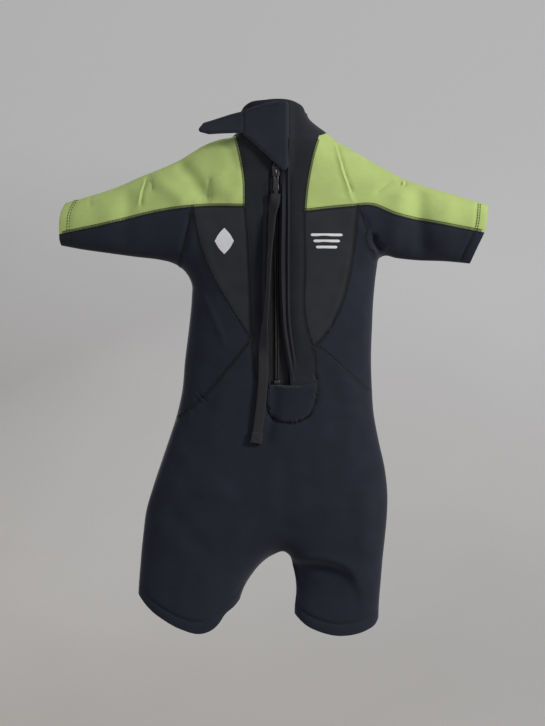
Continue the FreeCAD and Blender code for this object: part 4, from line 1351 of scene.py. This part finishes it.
def hook_patch():
    """The hooks behind the tongue: a stiff base, and bristles that bend over at their tips."""
    def behind_tongue(x, z):
        x0, y, z0 = on_tongue(x, z)
        return (x0, y + 1.75, z0)

    patch_outline = [[(-54, -20.6), (-72, -25.4), (-85, -28.4)], [(-88.5, -31), (-89, -34.5)],
                     [(-85, -36.6), (-54, -37.6)]]
    hooks, size, area = shaped_sheet("tab_hook_patch_base", patch_outline, behind_tongue, 0.8,
                                     [HOOKS])
    ring = np.vstack([smooth(part) for part in patch_outline])
    bristles = Tubes()
    for x, z in hexagonal(np.array([-88, -37.0]), np.array([-55, -21.5]), 1.5):
        if inside(np.array([[x, z]]), ring)[0]:
            x0, y, z0 = behind_tongue(x, z)
            bristles.add([(x0, y + 0.3, z0), (x0 + 0.1, y + 1.0, z0), (x0 + 0.45, y + 1.15, z0)],
                         0.14, 4)
    hook_bristles = bristles.made("tab_hook_patch_hooks", HOOKS)
    for made in (hooks, hook_bristles):
        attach(made, "collar_tab")
    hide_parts("tab_hook_patch")


def loop_patch():
    """The pile on the collar, under the flap, that the hooks hold to."""
    def over_collar(x, z):
        spot, _ = on_skin(x, z, BACK, 0.45)
        return tuple(spot)

    loop_outline = [[(-42, -19), (-42, -37)], [(-41, -38), (-15, -38)], [(-14, -37), (-14, -16)],
                    [(-15, -15), (-28, -16.5), (-41, -18)]]
    loops, size, area = shaped_sheet("collar_loop_patch_pile", loop_outline, over_collar, 0.9,
                                     [LOOPS], pitch=1.8)
    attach(loops, "suit")
    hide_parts("collar_loop_patch")


neck_flap()
collar_tongue()
hook_patch()
loop_patch()


def backing_flap():
    """The strip behind the zip that keeps it off the skin."""
    _, low, high = box_middle("zip_backing_flap")

    def place(x, z):
        spot, _ = on_skin(x, z)
        return (x, max(-26.3 + 0.8 * math.sin(z / 40) * math.cos(x / 30), spot.y + 4.2), z)

    outline = [[(-40, -72), (-40, -336)], [(-38, -338), (7, -338)], [(9, -336), (9, -72)],
               [(7, -70), (-38, -70)]]
    strip, size, area = shaped_sheet("zip_backing_flap_skin", outline, place, 2.0, [SKIN_BLACK],
                                     pitch=4)
    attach(strip, "suit")
    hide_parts("zip_backing_flap")


backing_flap()


# -------------------------------------------------------------------------- pull leash

LEASH_Y = -0.0377
LEASH_STAND = -0.0412      # where the webbing turns its edge to the suit
LEASH_POINTS = [(-0.0072, LEASH_Y, -0.1095), (-0.0095, LEASH_STAND, -0.141),
                (-0.0135, LEASH_STAND, -0.177), (-0.016, LEASH_STAND, -0.214),
                (-0.0185, LEASH_STAND, -0.250), (-0.0215, LEASH_Y, -0.285),
                (-0.021, LEASH_Y, -0.318), (-0.0235, LEASH_Y, -0.350), (-0.028, LEASH_Y, -0.382)]
LEASH_WIDTH, LEASH_THICK = 11.0, 1.6
EDGE_ON = math.radians(70)


def route_line(points):
    """Points read from the NURBS spline that the leash's route controls."""
    curve = bpy.data.curves.new("leash_route", "CURVE")
    curve.dimensions = "3D"
    spline = curve.splines.new("NURBS")
    spline.points.add(len(points) - 1)
    for control, point in zip(spline.points, points):
        control.co = (*point, 1)
    spline.order_u = 3
    spline.use_endpoint_u = True
    spline.resolution_u = 12
    holder = bpy.data.objects.new("leash_route", curve)
    mesh = bpy.data.meshes.new_from_object(holder)
    line = [v.co.copy() for v in mesh.vertices]
    bpy.data.objects.remove(holder)
    bpy.data.curves.remove(curve)
    bpy.data.meshes.remove(mesh)
    return line


def ribbon(line, width, thick, turn_at):
    """A webbing's body along a line: a flat rounded section that turns as it goes."""
    verts, faces = [], []
    section = [(-0.5, -0.3), (-0.42, -0.5), (-0.2, -0.46), (0, -0.5), (0.2, -0.46), (0.42, -0.5),
               (0.5, -0.3), (0.5, 0.3), (0.42, 0.5), (0.2, 0.46), (0, 0.5), (-0.2, 0.46),
               (-0.42, 0.5), (-0.5, 0.3)]
    total = len(line)
    for i, point in enumerate(line):
        before, after = line[max(i - 1, 0)], line[min(i + 1, total - 1)]
        way = (after - before).normalized()
        across = Vector((1, 0, 0))
        across = (across - way * across.dot(way)).normalized()
        face = way.cross(across)
        turn = turn_at(i / (total - 1))
        u_way = across * math.cos(turn) + face * math.sin(turn)
        v_way = face * math.cos(turn) - across * math.sin(turn)
        for u, v in section:
            verts.append(point / MM + u_way * u * width + v_way * v * thick)
    sides = len(section)
    for i in range(total - 1):
        for k in range(sides):
            a, b = i * sides + k, i * sides + (k + 1) % sides
            faces.append((a, b, b + sides, a + sides))
    faces.append(tuple(reversed(range(sides))))
    faces.append(tuple((total - 1) * sides + k for k in range(sides)))
    return verts, faces


def leash_end_fold(placed):
    """The webbing's end, folded back on itself and rolled at its foot."""
    verts, faces = joined(
        rounded_block((-6.2, -1.7, -11.5), (6.2, 1.7, 0.6), 0.9, 1.06),
        rounded_block((-6.9, -1.9, -12.2), (6.9, 1.9, -9.6), 0.9))
    return make_object("leash_end_fold", [placed @ v for v in verts], faces, [LEASH])


def leash_end_stitches(placed):
    """Four rows of stitches across the fold, and a cross between them."""
    tubes = Tubes()
    for z in (-1.6, -3.4, -7.2, -9.0):
        for k in range(6):
            x = -5 + k * 2
            tubes.add([placed @ Vector((x - 0.75, -1.75, z)), placed @ Vector((x, -1.95, z)),
                       placed @ Vector((x + 0.75, -1.75, z))], 0.25, 5)
    for sign in (-1, 1):
        for k in range(4):
            x, z = sign * (-4.4 + k * 2.9), -4.2 - k * 0.8
            tubes.add([placed @ Vector((x - sign * 0.8, -1.75, z + 0.45)),
                       placed @ Vector((x, -1.95, z)),
                       placed @ Vector((x + sign * 0.8, -1.75, z - 0.45))], 0.25, 5)
    return tubes.made("leash_end_stitches", THREAD_GREY)


def leash_loop(start):
    """The narrow loop of the leash that passes through the tab's slot."""
    _, tab_low, _ = box_middle("pull_tab")
    loop_line = [Vector((start.x, start.y, start.z)), Vector((start.x, start.y + 0.1, start.z + 3)),
                 Vector((start.x, start.y + 0.6, tab_low.z + 3.4)),
                 Vector((start.x, start.y + 1.8, tab_low.z + 4.2)),
                 Vector((start.x, start.y + 3.0, tab_low.z + 3.2)),
                 Vector((start.x, start.y + 3.2, tab_low.z + 0.6)),
                 Vector((start.x, start.y + 1.6, start.z - 1.4))]
    verts, faces = ribbon([p * MM for p in loop_line], 3.8, 1.0, lambda share: 0.0)
    return make_object("leash_loop", verts, faces, [LEASH], crease=50)


def pull_leash():
    """The hanging webbing, its sewn end, and the loop that ties it to the tab."""
    line = route_line(LEASH_POINTS)

    def turn_at(share):
        edge_on = smoothstep(share / 0.07) * (1 - smoothstep((share - 0.50) / 0.24))
        return float(EDGE_ON * edge_on + 0.10 * math.sin(share * 9))

    verts, faces = ribbon(line, LEASH_WIDTH, LEASH_THICK, turn_at)
    webbing_piece = make_object("pull_leash_webbing", verts, faces, [LEASH], crease=50)
    end, before = line[-1] / MM, line[-6] / MM
    lean = math.atan2(before.x - end.x, before.z - end.z)
    placed = Matrix.Translation(end) @ Matrix.Rotation(lean, 4, "Y")
    end_piece = leash_end_fold(placed)
    stitches = leash_end_stitches(placed)
    loop_piece = leash_loop(line[0] / MM)
    for piece in (webbing_piece, end_piece, stitches, loop_piece):
        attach(piece, "leash")
    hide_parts("pull_leash")
    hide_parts("leash_end")
    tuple(LEASH_POINTS[0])


pull_leash()


# -------------------------------------------------------------------- transfer prints

def transfer(name, stretches):
    """A thin print pressed on the jersey."""
    def place(x, z):
        spot, _ = on_skin(x, z, BACK, 0.28)
        return tuple(spot)

    made, _, _ = shaped_sheet(name, stretches, place, 0.16, [INK], pitch=1.6)
    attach(made, "suit")


def diamond(x, z, half, tall):
    """A plain lozenge with softly bowed sides."""
    bow = 1.116            # how far out the middles of the sides stand
    corners = [(x - half, z), (x, z + tall), (x + half, z), (x, z - tall)]
    stretches = []
    for (ax, az), (bx, bz) in zip(corners, corners[1:] + corners[:1]):
        mx, mz = (ax + bx) / 2, (az + bz) / 2
        stretches.append([(ax, az), (x + (mx - x) * bow, z + (mz - z) * bow), (bx, bz)])
    return stretches


transfer("transfer_lozenge", diamond(-66, -163, 11, 15))
for number, height in enumerate((-156, -163, -170)):
    half = 17 - 3 * number
    transfer(f"transfer_bar_{number + 1}",
             [[(51 - half, height + 1.5), (51 + half, height + 1.5)],
              [(51 + half + 1.5, height), (51 + half, height - 1.5)],
              [(51 - half, height - 1.5), (51 - half - 1.5, height)]])


def zip_foot_bartack():
    """Close upright stitches across the foot of the zip."""
    left, height, stitches, pitch = -5, -329.6, 15, 1.75
    tubes = Tubes()
    for k in range(stitches):
        x = left + k * pitch
        spots = [on_skin(x + dx, height + dz, BACK, 0.15 + lift)[0]
                 for dx, dz, lift in ((-0.3, -1.6, 0), (0, 0, 0.2), (0.3, 1.6, 0))]
        if all(spot is not None for spot in spots):
            tubes.add(spots, 0.45, 5)
    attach(tubes.made("zip_foot_bartack", THREAD_GREY), "suit")


zip_foot_bartack()


# ------------------------------------------------------------- stage, light and camera

def sweep():
    """A pale floor that curves up into a pale wall, well behind the suit. It carries painted light:
    it glows by its own emission, and its colour is painted lighter upwards and to the right.
    """
    profile = [(-4.0, -1.05), (1.2, -1.05)]
    profile += [(1.2 + 2.0 * math.sin(a), 0.95 - 2.0 * math.cos(a))
                for a in np.linspace(0.1, math.pi / 2, 24)]
    profile += [(3.2, 3.2)]
    verts = [(x, y, z) for x in (-5.0, 5.0) for y, z in profile]
    size = len(profile)
    faces = [(i, i + size, i + size + 1, i + 1) for i in range(size - 1)]
    mesh = bpy.data.meshes.new("sweep")
    mesh.from_pydata(verts, [], faces)
    mesh.polygons.foreach_set("use_smooth", [True] * len(faces))
    piece = bpy.data.objects.new("sweep", mesh)
    SCENE.collection.objects.link(piece)
    made = Shader("pale_sweep_painted_light", 0.95, specular=0.05)
    split = made.node("ShaderNodeSeparateXYZ")
    made.link(made.place, split.inputs[0])
    # Painted light and shade: the sweep's colour is lighter upwards and to the right and darker low
    # down and to the left, with random tone laid over it.
    rise = made.maths("MULTIPLY", made.maths("ADD", split.outputs[2], 1.05), 0.5)
    across = made.maths("ADD", made.maths("MULTIPLY", split.outputs[0], 0.30), 0.45)
    painted_light_level = made.maths("ADD", rise, made.maths("MULTIPLY", across, 0.5))
    painted_light_level = made.maths("ADD", painted_light_level, made.maths("MULTIPLY", made.noise(0.9, 3), 0.25))
    tone = made.ramp(painted_light_level, [(0.2, srgb(134, 131, 127)), (0.95, srgb(176, 175, 175))])
    # Painted glow: the sweep emits its own colour, though it is no lamp.
    made.surface.inputs["Emission Strength"].default_value = 0.5
    made.link(tone, made.surface.inputs["Emission Color"])
    plaster = made.noise(260, 5)
    mesh.materials.append(made.finish(tone, plaster, 0.001))


def soft_light(name, place, target, size, power, colour):
    """A round area light that faces a target."""
    data = bpy.data.lights.new(name, "AREA")
    data.shape = "DISK"
    data.size = size
    data.energy = power
    data.color = colour
    lamp = bpy.data.objects.new(name, data)
    lamp.location = place
    lamp.rotation_euler = (Vector(target) - Vector(place)).to_track_quat("-Z", "Y").to_euler()
    SCENE.collection.objects.link(lamp)


def lights():
    """An even room and a window to the right, a little above the suit."""
    world = bpy.data.worlds.new("room")
    SCENE.world = world
    world.use_nodes = True
    background = world.node_tree.nodes["Background"]
    background.inputs["Color"].default_value = srgb(186, 188, 194)
    background.inputs["Strength"].default_value = 0.62
    soft_light("window", (2.3, -1.4, 0.8), (0, 0, -0.25), 0.6, 72, (1.0, 0.99, 0.96))
    soft_light("room_left", (-1.9, -1.1, 0.9), (0, 0, -0.3), 0.9, 9, (0.95, 0.97, 1.0))
    soft_light("room_far_side", (-1.2, 2.0, 0.6), (0, 0, -0.3), 1.0, 26, (0.98, 0.98, 1.0))


def camera():
    """Straight on from behind the suit, at about the distance that a phone is held."""
    data = bpy.data.cameras.new("camera")
    eye = bpy.data.objects.new("camera", data)
    away, half_height = 2.0, 0.4175
    middle = Vector((-0.0109, 0, -0.3025))
    data.sensor_fit = "VERTICAL"
    data.sensor_height = 24
    data.lens = 12 * (away - 0.02) / half_height
    eye.location = middle + Vector((0, -away, 0))
    eye.rotation_euler = (math.pi / 2, 0, 0)
    SCENE.collection.objects.link(eye)
    SCENE.camera = eye


sweep()
lights()
camera()
SCENE.view_settings.view_transform = "Standard"
SCENE.view_settings.look = "None"
